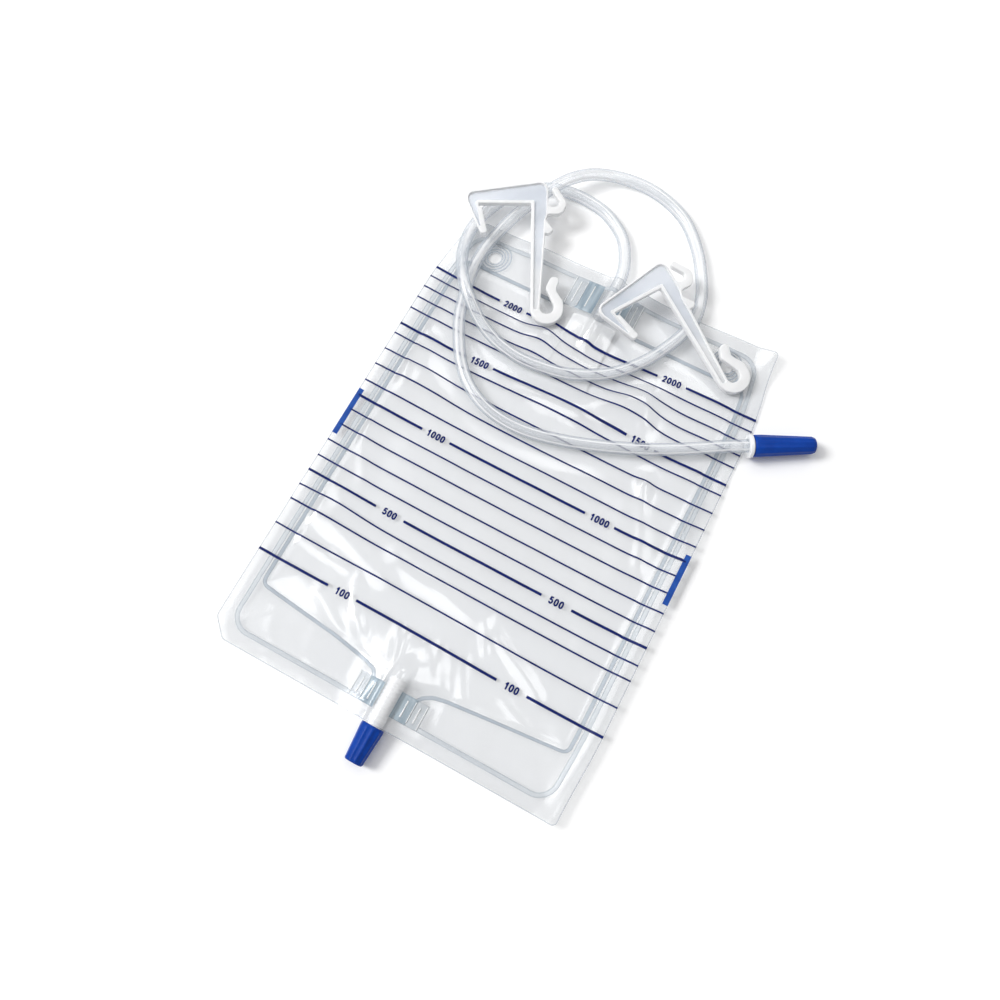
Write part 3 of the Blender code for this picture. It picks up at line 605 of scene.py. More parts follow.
def grid_faces(rows, columns, closed_rows=False, closed_columns=False):
    """Faces of a grid of points, which may close on itself either way."""
    faces = []
    for row in range(rows if closed_rows else rows - 1):
        first = row * columns
        after = (row + 1) % rows * columns
        for column in range(columns if closed_columns else columns - 1):
            beside = (column + 1) % columns
            faces.append((first + column, first + beside, after + beside, after + column))
    return faces


def joined(parts):
    """One list of points and faces out of several."""
    verts = []
    faces = []
    for part_verts, part_faces in parts:
        base = len(verts)
        verts += [tuple(vert) for vert in part_verts]
        faces += [tuple(corner + base for corner in face) for face in part_faces]
    return verts, faces


def metres(rows):
    return [tuple(value * MM for value in row) for row in rows]


def rounded_loop(corners, turn_steps=12):
    """Closed outline through corners (x, y, radius), each turned by an arc."""
    points = []
    count = len(corners)
    for index in range(count):
        before = Vector(corners[index - 1][:2])
        x, y, radius = corners[index][:3]
        here = Vector((x, y))
        after = Vector(corners[(index + 1) % count][:2])
        towards_before = (before - here).normalized()
        towards_after = (after - here).normalized()
        angle = towards_before.angle(towards_after)
        if radius <= 0 or angle > math.radians(179):
            points.append(here)
            continue
        reach = radius / math.tan(angle / 2)
        reach = min(reach, 0.7 * (before - here).length, 0.7 * (after - here).length)
        radius = reach * math.tan(angle / 2)
        bisector = (towards_before + towards_after).normalized()
        centre = here + bisector * (radius / math.sin(angle / 2))
        start = here + towards_before * reach - centre
        turn = math.pi - angle
        side = towards_before.cross(towards_after)
        steps = max(2, round(turn_steps * turn / (math.pi / 2)))
        for step in range(steps + 1):
            spin = math.copysign(turn * step / steps, side)
            points.append(centre + Matrix.Rotation(-spin, 2) @ start)
    return points


def inset_corners(corners, distance):
    """Move every side of an anticlockwise outline inwards."""
    moved = []
    count = len(corners)
    for index in range(count):
        before = Vector(corners[index - 1][:2])
        here = Vector(corners[index][:2])
        after = Vector(corners[(index + 1) % count][:2])
        first = (here - before).normalized()
        second = (after - here).normalized()
        normal = Vector((-first.y, first.x)) + Vector((-second.y, second.x))
        normal /= 1 + first.dot(second)
        spot = here + normal * distance
        turns_left = first.cross(second) > 0
        radius = corners[index][2] + (-distance if turns_left else distance)
        moved.append((spot.x, spot.y, max(radius, SMALLEST_ROUND)))
    return moved


def even_points(points, step, closed=False):
    """Points at even steps along a line."""
    points = np.array([tuple(point) for point in points], float)
    if closed:
        points = np.concatenate([points, points[:1]])
    lengths = np.concatenate([[0], np.cumsum(np.linalg.norm(np.diff(points, axis=0), axis=1))])
    count = max(2, round(lengths[-1] / step))
    wanted = np.linspace(0, lengths[-1], count + 1)
    if closed:
        wanted = wanted[:-1]
    return np.stack([np.interp(wanted, lengths, values) for values in points.T], -1)


# Tube's route

def connector_place():
    """Local X runs out of the tube, through the connector and its cap."""
    return (Matrix.Translation(CONNECTOR_PLACE)
            @ Matrix.Rotation(CONNECTOR_HEADING, 4, "Z")
            @ Matrix.Rotation(CONNECTOR_DROOP, 4, "Y"))


def smooth_route(route, step):
    """Even points along a smooth curve through the route's points."""
    guides = [2 * route[0] - route[1]] + route + [2 * route[-1] - route[-2]]
    fine = []
    for index in range(len(route) - 1):
        before, start, end, after = guides[index:index + 4]
        for part in range(SPLINE_PARTS):
            t = part / SPLINE_PARTS
            fine.append(0.5 * (2 * start + (end - before) * t
                               + (2 * before - 5 * start + 4 * end - after) * t ** 2
                               + (3 * start - before - 3 * end + after) * t ** 3))
    fine.append(route[-1])
    return even_points(fine, step)


def tube_path():
    route = [MM * Vector(point) for point in TUBE_ROUTE]
    place = connector_place()
    for before_connector in TUBE_END:
        route.append(place @ Vector((-before_connector, 0, 0)))
    return smooth_route(route, TUBE_STEP)


PATH = tube_path()


# Film shape

def film_corners(inset, radius):
    x = HALF_WIDTH - inset
    y = HALF_HEIGHT - inset
    return [(-x, -y, radius), (x, -y, radius), (x, y, radius), (-x, y, radius)]


def film_edge():
    """The film's outline from one side of the outlet round to the other: its left corners
    are cut off, its right ones only trimmed."""
    left = CORNER_CUT - HALF_WIDTH
    right = HALF_WIDTH - RIGHT_CORNER_CUT
    bottom = -HALF_HEIGHT
    corners = [
        (OUTLET_X + OUTLET_RADIUS, bottom, 0),
        (right, bottom, RIGHT_CORNER_ROUND),
        (HALF_WIDTH, bottom + RIGHT_CORNER_CUT, RIGHT_CORNER_ROUND),
        (HALF_WIDTH, HALF_HEIGHT - RIGHT_CORNER_CUT, RIGHT_CORNER_ROUND),
        (right, HALF_HEIGHT, RIGHT_CORNER_ROUND),
        (left, HALF_HEIGHT, CORNER_ROUND),
        (-HALF_WIDTH, HALF_HEIGHT - CORNER_CUT, CORNER_ROUND),
        (-HALF_WIDTH, bottom + CORNER_CUT, CORNER_ROUND),
        (left, bottom, CORNER_ROUND),
        (OUTLET_X - OUTLET_RADIUS, bottom, 0),
    ]
    return rounded_loop(corners, EDGE_TURN_STEPS)


def outer_weld_line():
    """The outer weld from one side of the outlet round to the other."""
    corners = film_corners(OUTER_WELD_INSET, OUTER_WELD_CORNER)
    y = corners[0][1]
    reach = OUTLET_RADIUS + OUTLET_RIB
    ends = [(OUTLET_X + reach, y, 0), (OUTLET_X - reach, y, 0)]
    return rounded_loop(ends[:1] + corners[1:] + corners[:1] + ends[1:])


def chamber_corners():
    """Inner weld: straight top and sides, and a shallow funnel down to the outlet."""
    x = HALF_WIDTH - INNER_WELD_INSET
    top = HALF_HEIGHT - TOP_STRIP
    side = FUNNEL_SIDE - HALF_HEIGHT
    throat = FUNNEL_THROAT - HALF_HEIGHT
    return [
        (-x, side, INNER_WELD_CORNER),
        (OUTLET_X - FUNNEL_HALF_WIDTH, throat, FUNNEL_BEND),
        (OUTLET_X, FUNNEL_END, FUNNEL_END_BEND),
        (OUTLET_X + FUNNEL_HALF_WIDTH, throat, FUNNEL_BEND),
        (x, side, INNER_WELD_CORNER),
        (x, top, INNER_WELD_CORNER),
        (-x, top, INNER_WELD_CORNER),
    ]


OUTER_WELD = rounded_loop(film_corners(OUTER_WELD_INSET, OUTER_WELD_CORNER))
INNER_WELD = rounded_loop(chamber_corners())


def distance_to_loop(x, y, loop):
    nearest = np.full(x.shape, np.inf)
    for first, second in zip(loop, loop[1:] + loop[:1]):
        along = np.array(second - first)
        span = float(along @ along)
        if span == 0:
            continue
        share = np.clip(((x - first.x) * along[0] + (y - first.y) * along[1]) / span, 0, 1)
        away = np.hypot(x - first.x - share * along[0], y - first.y - share * along[1])
        nearest = np.minimum(nearest, away)
    return nearest


def inside_loop(x, y, loop):
    inside = np.zeros(x.shape, bool)
    for first, second in zip(loop, loop[1:] + loop[:1]):
        if first.y == second.y:
            continue
        crosses = (first.y > y) != (second.y > y)
        cross_x = first.x + (y - first.y) * (second.x - first.x) / (second.y - first.y)
        inside ^= crosses & (x < cross_x)
    return inside


def free_of_tube(x, y):
    """0 under the tube and the hangers, 1 well away from them."""
    near = np.full(x.shape, np.inf)
    for point in PATH[::2]:
        if point[2] < RESTING_TUBE:
            near = np.minimum(near, np.hypot(x - point[0], y - point[1]))
    return smooth((near - TUBE_REACH) / TUBE_RUN)


def port_share(y, inner_end, inward):
    """1 beside a port's piece, fading to 0 inside the chamber."""
    return 1 - smooth(((y - inner_end) * inward - PORT_LEAD) / PORT_RUN)


def port_shapes(x, y):
    """For each port: the pull of the films to its axis, its height, and the gap it needs."""
    shapes = []
    ports = (
        (INLET_X, INLET_AXIS_Z, TUBE_RADIUS, INLET_INNER_END, -1.0),
        (OUTLET_X, OUTLET_AXIS_Z, OUTLET_RADIUS + OUTLET_RIB, OUTLET_INNER_END, 1.0),
    )
    for port_x, axis_z, radius, inner_end, inward in ports:
        wrap = radius + WRAP_CLEARANCE
        share = port_share(y, inner_end, inward)
        across = np.abs(x - port_x)
        beside = smooth((across - wrap) / PORT_SPREAD)
        dome = wrap * np.clip(1 - (across / (DOME_SPREAD * wrap)) ** DOME_POWER, 0, 1)
        shapes.append((share * (1 - beside), axis_z, share * dome))
    return shapes


def edge_lift(x, y):
    """Height of the films over the table: nothing in the middle, a little at the edges."""
    inward = np.minimum(HALF_WIDTH - np.abs(x), HALF_HEIGHT - np.abs(y))
    lift = EDGE_LIFT * (1 - smooth(inward / EDGE_RUN))
    for place_x, place_y in PRESSED_PLACES:
        away = np.hypot(x - place_x * MM, y - place_y * MM)
        lift = lift * smooth(away / PRESS_REACH - PRESS_CORE)
    return lift


def curl(x, y):
    """The right margin rises further, but for where the tube's end rests on it."""
    margin = smooth(1 - (HALF_WIDTH - x) / CURL_WIDTH)
    top = CURL_TOP * smooth(1 - (HALF_HEIGHT - y) / CURL_TOP_RUN)
    low = CURL_LOW * smooth((CURL_LOW_FROM - y) / CURL_LOW_RUN)
    return margin * (top + low)


def bulges(x, y):
    """How far the print has moved up the bag at a place, and the relief that goes with it."""
    shift = PRINT_SHIFT - PRINT_SLOPE * x - PRINT_SAG * (1 - (x / HALF_WIDTH) ** 2)
    relief = np.zeros(x.shape)
    for centre_x, centre_y, reach_x, reach_y, move in metres(BULGES):
        bump = move * np.exp(-((x - centre_x) / reach_x) ** 2 - ((y - centre_y) / reach_y) ** 2)
        shift = shift + bump
        relief = relief + BULGE_RELIEF * bump
    return shift * (1 - smooth((np.abs(y) - PRINT_END) / PRINT_FADE)), relief


def noise_field(x, y, size_x, size_y, seed):
    spots = zip(x.reshape(-1), y.reshape(-1))
    values = [noise.noise(Vector((px / size_x, py / size_y, seed))) for px, py in spots]
    return np.array(values).reshape(x.shape)


def wrinkles(x, y):
    """Broad waves, faint folds and rays from the outlet in the front film."""
    height = np.zeros(x.shape)
    for size_x, size_y, seed, slant, rise in WAVES:
        height += rise * MM * noise_field(x + slant * y, y, size_x * MM, size_y * MM, seed)
    across = x - OUTLET_X
    up = y - RAY_CENTRE_Y
    away = np.hypot(across, up)
    angle = np.arctan2(up, across)
    rays = np.sin(RAY_COUNT * angle + RAY_SWAY * np.sin(RAY_SWAYS * angle) + away / RAY_TURN)
    fade = smooth(away / RAY_START - RAY_CLEAR) * (1 - smooth((away - RAY_START) / RAY_RUN))
    return height + RAY_HEIGHT * rays * fade


def creases(x, y):
    """Single creases, each a ridge that fades at both ends."""
    height = np.zeros(x.shape)
    for start_x, start_y, end_x, end_y, half_width, ridge in metres(CREASES):
        along = np.array((end_x - start_x, end_y - start_y))
        length = np.linalg.norm(along)
        along /= length
        offset_x = x - start_x
        offset_y = y - start_y
        run = offset_x * along[0] + offset_y * along[1]
        sway = CREASE_SWAY * half_width * np.sin(run / CREASE_TURN)
        across = (offset_y * along[0] - offset_x * along[1] + sway) / half_width
        end = np.maximum(np.maximum(-run, run - length), 0) / (CREASE_END * half_width)
        height += ridge * np.exp(-across ** 2 - end ** 2)
    return height


def film_levels(x, y):
    """Height of the middle between the films, the front film's height over it, and half the
    gap between them."""
    inside = inside_loop(x, y, INNER_WELD)
    off_inner = distance_to_loop(x, y, INNER_WELD)
    off_weld = np.minimum(off_inner, distance_to_loop(x, y, OUTER_WELD))
    free = smooth((off_weld - WELD_WIDTH / 2) / WELD_SHOULDER)
    for low, high, bottom, top in metres(PADS):
        outside = np.maximum.reduce([low - x, x - high, bottom - y, y - top])
        free = np.minimum(free, smooth(outside / PAD_SHOULDER))
    middle = FILM + CHAMBER_GAP / 2 + edge_lift(x, y) + curl(x, y)
    gap = np.where(inside, CHAMBER_GAP, MARGIN_GAP)
    half_gap = (WELD_GAP + (gap - WELD_GAP) * free) / 2
    off_tube = free_of_tube(x, y)
    deep = smooth((off_inner - RELIEF_START) / RELIEF_RUN)
    loose = np.where(inside, deep, MARGIN_RELIEF * free) * off_tube
    loose = loose * (1 - port_share(y, INLET_INNER_END, -1.0) * (np.abs(x) < INLET_CALM))
    relief = wrinkles(x, y) + bulges(x, y)[1] + RELIEF_RISE
    front = half_gap + soft_max(loose * relief, RELIEF_FLOOR * half_gap, loose * RELIEF_SOFTNESS)
    front = front + np.where(inside, free, MARGIN_CREASE * free) * off_tube * creases(x, y)
    for pull, axis_z, port_gap in port_shapes(x, y):
        middle = middle + (axis_z - middle) * pull
        half_gap = np.maximum(half_gap, port_gap)
        softness = PORT_SOFTNESS * smooth(port_gap / PORT_BLEND)
        front = np.where(port_gap > 0, soft_max(front, port_gap, softness), front)
    return middle, front, half_gap


def warp(x, y):
    """Where a point of the flat bag has moved to: corners drawn in, print rippled."""
    top = smooth((y - CORNER_FROM[1]) / CORNER_RUN[1])
    low = smooth((-CORNER_FROM[1] - y) / CORNER_RUN[1])
    right = smooth((x - CORNER_FROM[0]) / CORNER_RUN[0])
    left = smooth((-CORNER_FROM[0] - x) / CORNER_RUN[0])
    drawn = right * (DRAWN_TOP_RIGHT * top + DRAWN_LOW_RIGHT * low)
    return x - drawn + left * DRAWN_TOP_LEFT * top, y + bulges(x, y)[0]


def on_front(points, lift=0.0):
    """Places on top of the front film for points of the flat bag."""
    x, y = points.T
    middle, front, _ = film_levels(x, y)
    return np.stack([*warp(x, y), middle + front + lift], -1)


def film_rows():
    """Grid of flat points: rows up the bag, closer columns over the ports."""
    columns = np.concatenate([
        np.arange(-HALF_WIDTH, FINE_FROM, GRID),
        np.arange(FINE_FROM, FINE_TO, FINE_GRID),
        np.linspace(FINE_TO, HALF_WIDTH, round((HALF_WIDTH - FINE_TO) / GRID) + 1),
    ])
    ends = np.concatenate([
        np.linspace(HALF_HEIGHT - CORNER_CUT, HALF_HEIGHT - RIGHT_CORNER_CUT, CORNER_ROWS),
        np.linspace(HALF_HEIGHT - RIGHT_CORNER_CUT, HALF_HEIGHT, TRIMMED_ROWS)[1:],
    ])
    middle = np.arange(CORNER_CUT - HALF_HEIGHT, HALF_HEIGHT - CORNER_CUT, GRID)[1:]
    rows = np.concatenate([-ends[::-1], middle, ends])
    x, y = np.meshgrid(columns, rows)
    corner = np.where(x < 0, CORNER_CUT, RIGHT_CORNER_CUT)
    half = HALF_WIDTH - np.clip(np.abs(y) - (HALF_HEIGHT - corner), 0, None)
    share = (np.abs(x) - MARGIN_FROM) / (HALF_WIDTH - MARGIN_FROM)
    stretched = np.sign(x) * (MARGIN_FROM + share * (half - MARGIN_FROM))
    return np.where(share > 0, stretched, x), y


def build_film(name, x, y, heights, material):
    """A film as one thin surface, with its eyelets punched out."""
    moved_x, moved_y = warp(x, y)
    verts = np.stack([moved_x, moved_y, heights], -1).reshape(-1, 3)
    flat = np.stack([x, y], -1).reshape(-1, 2)
    in_hole = np.zeros(len(flat), bool)
    for centre in EYELETS:
        in_hole |= np.linalg.norm(flat - centre, axis=1) < EYELET_HOLE
    faces = [face for face in grid_faces(*x.shape) if in_hole[list(face)].sum() < 3]
    used = sorted({corner for face in faces for corner in face})
    for corner in used:
        if in_hole[corner]:
            centre = min(EYELETS, key=lambda spot: np.linalg.norm(flat[corner] - spot))
            away = flat[corner] - centre
            verts[corner, :2] += away * (EYELET_HOLE / np.linalg.norm(away) - 1)
    place = {corner: index for index, corner in enumerate(used)}
    faces = [[place[corner] for corner in face] for face in faces]
    return make_piece(name, verts[used], faces, material)


def on_valve(points, lift=0.0):
    """Places on top of the valve, inside the bag."""
    x, y = points.T
    return np.stack([x, y, film_levels(x, y)[0] + VALVE_FACE + lift], -1)


def strip_on_film(line, profile, closed=False, step=1.2 * MM, surface=on_front):
    """Points and faces of a strip that follows a line on the front film or the valve.
    The profile is (offset to the left, height over the film)."""
    points = even_points(line, step, closed)
    if closed:
        ahead = np.roll(points, -1, axis=0) - np.roll(points, 1, axis=0)
    else:
        ahead = np.gradient(points, axis=0)
    ahead /= np.linalg.norm(ahead, axis=1)[:, None]
    normal = np.stack([-ahead[:, 1], ahead[:, 0]], -1)
    sides = [surface(points + normal * offset, lift) for offset, lift in reversed(profile)]
    verts = np.stack(sides, 1).reshape(-1, 3)
    return verts, grid_faces(len(points), len(profile), closed_rows=closed)


def circle(centre, radius, count=48):
    angles = [2 * math.pi * step / count for step in range(count)]
    return [Vector((centre[0] + radius * math.cos(a), centre[1] + radius * math.sin(a)))
            for a in angles]


def band_profile(width):
    half = width / 2
    flat = half - BAND_BORDER
    return ((-half, WELD_HEIGHT / 2), (-flat, WELD_HEIGHT), (flat, WELD_HEIGHT),
            (half, WELD_HEIGHT / 2))


def flat_profile(width, height, offset=0.0):
    return (offset - width / 2, height), (offset + width / 2, height)


def patch_on_film(low_x, high_x, low_y, high_y):
    """A raised patch with soft borders on the front film."""
    columns = np.linspace(low_x, high_x, max(3, round((high_x - low_x) / PATCH_STEP)) + 1)
    rows = np.linspace(low_y, high_y, max(3, round((high_y - low_y) / PATCH_STEP)) + 1)
    x, y = np.meshgrid(columns, rows)
    inward = np.minimum.reduce([x - low_x, high_x - x, y - low_y, high_y - y])
    heights = PATCH_BASE + PAD_HEIGHT * smooth(inward / PATCH_BORDER)
    points = np.stack([x.reshape(-1), y.reshape(-1)], -1)
    return on_front(points, heights.reshape(-1)), grid_faces(*x.shape)


# Materials

def new_material(name):
    """A material with its tree, shader and output."""
    material = bpy.data.materials.new(name)
    material.use_nodes = True
    nodes = material.node_tree.nodes
    return material, material.node_tree, nodes["Principled BSDF"], nodes["Material Output"]


def set_inputs(tree, node, inputs):
    """Give each input its value, or link it to another node's output."""
    for name, value in inputs.items():
        if isinstance(value, bpy.types.NodeSocket):
            tree.links.new(value, node.inputs[name])
        else:
            node.inputs[name].default_value = value


def add_node(tree, kind, inputs, result=0, **settings):
    """Make a node and return one of its outputs."""
    node = tree.nodes.new("ShaderNode" + kind)
    for name, value in settings.items():
        setattr(node, name, value)
    set_inputs(tree, node, inputs)
    return node.outputs[result]


def noise_value(tree, scale, detail=3.0, stretch=(1, 1, 1)):
    """Noise in metres of the object's own space."""
    place = add_node(tree, "TexCoord", {}, "Object")
    place = add_node(tree, "Mapping", {"Scale": stretch, "Vector": place})
    return add_node(tree, "TexNoise", {"Scale": scale, "Detail": detail, "Vector": place}, "Fac")


def mapped(tree, value, low, high, from_low=CLOUD_LOW, from_high=CLOUD_HIGH):
    return add_node(tree, "MapRange", {"Value": value, "From Min": from_low,
                                       "From Max": from_high, "To Min": low, "To Max": high})


def ramp(tree, value, stops):
    node = tree.nodes.new("ShaderNodeValToRGB")
    elements = node.color_ramp.elements
    while len(elements) < len(stops):
        elements.new(0.5)
    for element, (place, colour) in zip(elements, stops):
        element.position = place
        element.color = (*colour, 1.0)
    tree.links.new(value, node.inputs["Fac"])
    return node.outputs["Color"]


def clouded(tree, cloud, colours):
    """A colour that wanders between two."""
    return ramp(tree, cloud, ((CLOUD_LOW, colours[0]), (CLOUD_HIGH, colours[1])))


def shader_mix(tree, share, first, second):
    """Two shaders mixed: the first at a share of 0, the second at 1."""
    return add_node(tree, "MixShader", {"Fac": share, 1: first, 2: second})


def transparent(tree, colour=(1, 1, 1)):
    return add_node(tree, "BsdfTransparent", {"Color": (*colour, 1.0)})


def facing_away(tree):
    """0 where a surface faces the viewer, 1 at its outline."""
    return add_node(tree, "LayerWeight", {"Blend": 0.5}, "Facing")


def inner_glow(weight, depth):
    """Light that spreads under the surface of a milky plastic."""
    return {"Subsurface Weight": weight, "Subsurface Radius": (1.0, 1.0, 1.0),
            "Subsurface Scale": depth}


def add_gloss(tree, output, body, facing_gloss, roughness, edge_gloss=0.7):
    """A clear glossy surface, the same from both sides, over a see-through body."""
    shine = add_node(tree, "BsdfAnisotropic", {"Roughness": roughness})
    power = add_node(tree, "Math", {0: facing_away(tree), 1: GLOSS_POWER}, operation="POWER")
    share = mapped(tree, power, facing_gloss, edge_gloss, 0.0, 1.0)
    set_inputs(tree, output, {"Surface": shader_mix(tree, share, body, shine)})


def clear_material(name, tint, colours, opacity, roughness, gloss, gloss_roughness=0.2,
                   scale=40, stretch=(1, 1, 1)):
    """A clear plastic: part see-through, part milky, with a glossy surface."""
    material, tree, shader, output = new_material(name)
    cloud = noise_value(tree, scale, 4.0, stretch)
    set_inputs(tree, shader, {
        "Base Color": clouded(tree, cloud, colours),
        "Roughness": roughness, "Specular IOR Level": 0.0})
    body = shader_mix(tree, mapped(tree, cloud, *opacity), transparent(tree, tint),
                      shader.outputs["BSDF"])
    add_gloss(tree, output, body, gloss, gloss_roughness)
    return material


def plastic_material(name, colours, roughness, scale, bump=0.01 * MM, coat=0.0,
                     subsurface=0.0, depth=1.5 * MM, specular=0.5):
    """Moulded plastic: slightly uneven colour and gloss, with a faint skin."""
    material, tree, shader, _ = new_material(name)
    cloud = noise_value(tree, scale, 4.0)
    skin = noise_value(tree, scale * SKIN_FINENESS, 2.0)
    set_inputs(tree, shader, inner_glow(subsurface, depth))
    set_inputs(tree, shader, {
        "Base Color": clouded(tree, cloud, colours),
        "Roughness": mapped(tree, cloud, *[roughness * share for share in ROUGHNESS_SPREAD]),
        "Coat Weight": coat, "Coat Roughness": COAT_ROUGHNESS, "Specular IOR Level": specular,
        "Normal": add_node(tree, "Bump", {"Distance": bump, "Strength": 1.0, "Height": skin})})
    return material


def hanger_material():
    """Milky web of a hanger: painted shade makes it darker and bluish by the arm, and it pales to
    white towards the stem's end.
    """
    material, tree, shader, _ = new_material("hanger_web")
    place = add_node(tree, "TexCoord", {}, "Object")
    along = add_node(tree, "SeparateXYZ", {"Vector": place}, "Y")
    cloud = mapped(tree, noise_value(tree, 60.0), -8 * MM, 8 * MM)
    total = add_node(tree, "Math", {0: along, 1: cloud}, operation="ADD")
    # painted shade: the web's colour darkens from the stem's end towards the arm
    share = mapped(tree, total, 0.0, 1.0, *WEB_SHADE_FADE)
    set_inputs(tree, shader, inner_glow(0.4, 2.5 * MM))
    set_inputs(tree, shader, {
        "Base Color": ramp(tree, share, ((0.0, (0.93, 0.945, 0.97)), (1.0, (0.76, 0.80, 0.87)))),
        "Roughness": 0.4, "Specular IOR Level": 0.2})
    return material


def see_through(material, share):
    """Let a share of the light pass each surface of a milky plastic."""
    tree = material.node_tree
    body = tree.nodes["Principled BSDF"].outputs["BSDF"]
    set_inputs(tree, tree.nodes["Material Output"],
               {"Surface": shader_mix(tree, share, body, transparent(tree))})


def ink_material(name, dark, light):
    """Printed ink, a little uneven in colour and gloss."""
    material, tree, shader, _ = new_material(name)
    cloud = noise_value(tree, 220.0, 5.0)
    set_inputs(tree, shader, {"Base Color": ramp(tree, cloud, ((0.35, dark), (0.7, light))),
                              "Roughness": mapped(tree, cloud, 0.3, 0.5),
                              "Specular IOR Level": 0.15})
    return material


def tube_material():
    """Clear tube: a painted white highlight band on each side of a clear middle, painted grey
    shade towards the outline, faint streaks.
    """
    material, tree, shader, output = new_material("clear_tube")
    facing = facing_away(tree)
    around = add_node(tree, "Attribute", {}, "Vector", attribute_name="around")
    wave = add_node(tree, "TexNoise", {"Scale": 1.0, "Detail": 1.0, "Vector": around}, "Fac")
    streaks = ramp(tree, wave, ((0.42, (0.96, 0.965, 0.97)), (0.56, (1.0, 1.0, 1.0))))
    # Colour and opacity by how far the surface turns from the viewer: painted highlight bands and
    # painted shade at the outline
    colour = ramp(tree, facing, [(place, colour) for place, _, colour in TUBE_PAINTED_TONES])
    opacity = ramp(tree, facing, [(place, (share,) * 3) for place, share, _ in TUBE_PAINTED_TONES])
    mix = tree.nodes.new("ShaderNodeMix")
    mix.data_type = "RGBA"
    mix.blend_type = "MULTIPLY"
    set_inputs(tree, mix, {"Factor": 1.0, "A": colour, "B": streaks})
    set_inputs(tree, shader, {"Base Color": mix.outputs["Result"], "Roughness": 0.18,
                              "Specular IOR Level": 0.0})
    body = shader_mix(tree, opacity, transparent(tree, (0.98, 0.985, 0.99)),
                      shader.outputs["BSDF"])
    add_gloss(tree, output, body, 0.05, 0.22, 0.22)
    return material


# Pieces

def frames_along(path):
    """Turning-free cross directions along a path."""
    ahead = np.gradient(path, axis=0)
    ahead /= np.linalg.norm(ahead, axis=1)[:, None]
    side = Vector((0, 0, 1)).cross(Vector(ahead[0])).normalized()
    frames = []
    for direction in ahead:
        direction = Vector(direction)
        side = (side - direction * side.dot(direction)).normalized()
        frames.append((side.copy(), direction.cross(side).normalized()))
    return frames


def build_tube(material):
    """The tube, with places round its skin for the streaks."""
    verts = []
    around = []
    for index, (centre, (side, up)) in enumerate(zip(PATH, frames_along(PATH))):
        for step in range(TUBE_SIDES):
            angle = 2 * math.pi * step / TUBE_SIDES
            verts.append(Vector(centre) + TUBE_RADIUS * (side * math.cos(angle)
                                                         + up * math.sin(angle)))
            around += [STREAK_SIZE * math.cos(angle), STREAK_SIZE * math.sin(angle),
                       STREAK_STEP * index]
    ends = [tuple(range(TUBE_SIDES))[::-1], tuple(range(len(verts) - TUBE_SIDES, len(verts)))]
    faces = grid_faces(len(PATH), TUBE_SIDES, closed_columns=True) + ends
    piece = make_piece("clear_tube", verts, faces, material, crease=60)
    attribute = piece.data.attributes.new("around", "FLOAT_VECTOR", "POINT")
    attribute.data.foreach_set("vector", around)
    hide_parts("inlet_tube")
    return piece


def revolved(profile, segments, place, flutes=0, depth=0.0):
    """Spin (along, radius, flute share) round local X; the profile runs along the outside."""
    verts = []
    for along, radius, share in profile:
        for step in range(segments):
            angle = 2 * math.pi * step / segments
            wave = 1 - abs(math.cos(flutes * angle / 2)) ** 3 if flutes else 0.0
            reach = radius - depth * share * wave
            verts.append(place @ Vector((along, reach * math.cos(angle),
                                         reach * math.sin(angle))))
    faces = grid_faces(len(profile), segments, closed_columns=True)
    return verts, [(a, d, c, b) for a, b, c, d in faces]


def rounded_profile(points, radius, steps=3):
    """Round the corners of a profile of (along, radius, flute share) points."""
    points = [(Vector(point[:2]), point[2] if len(point) > 2 else 0.0) for point in points]
    result = [(*points[0][0], points[0][1])]
    for (before, _), (here, share), (after, _) in zip(points, points[1:], points[2:]):
        a = before - here
        b = after - here
        reach = min(radius, 0.45 * a.length, 0.45 * b.length)
        start = here + a.normalized() * reach
        end = here + b.normalized() * reach
        for step in range(steps + 1):
            t = step / steps
            spot = start * (1 - t) ** 2 + here * 2 * t * (1 - t) + end * t ** 2
            result.append((*spot, share))
    result.append((*points[-1][0], points[-1][1]))
    return result


def turned_piece(name, profile, segments, place, material, node, body="bag",
                 flutes=0, depth=0.0):
    """A piece turned round local X, with its seams closed."""
    profile = rounded_profile(profile, TURNED_ROUNDING)
    verts, faces = revolved(profile, segments, place, flutes, depth)
    piece = make_piece(name, verts, faces, material, body, crease=40)
    bm = bmesh.new()
    bm.from_mesh(piece.data)
    bmesh.ops.remove_doubles(bm, verts=bm.verts, dist=SEAM_GAP)
    bmesh.ops.recalc_face_normals(bm, faces=bm.faces)
    bm.to_mesh(piece.data)
    bm.free()
    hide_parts(node)
    return piece


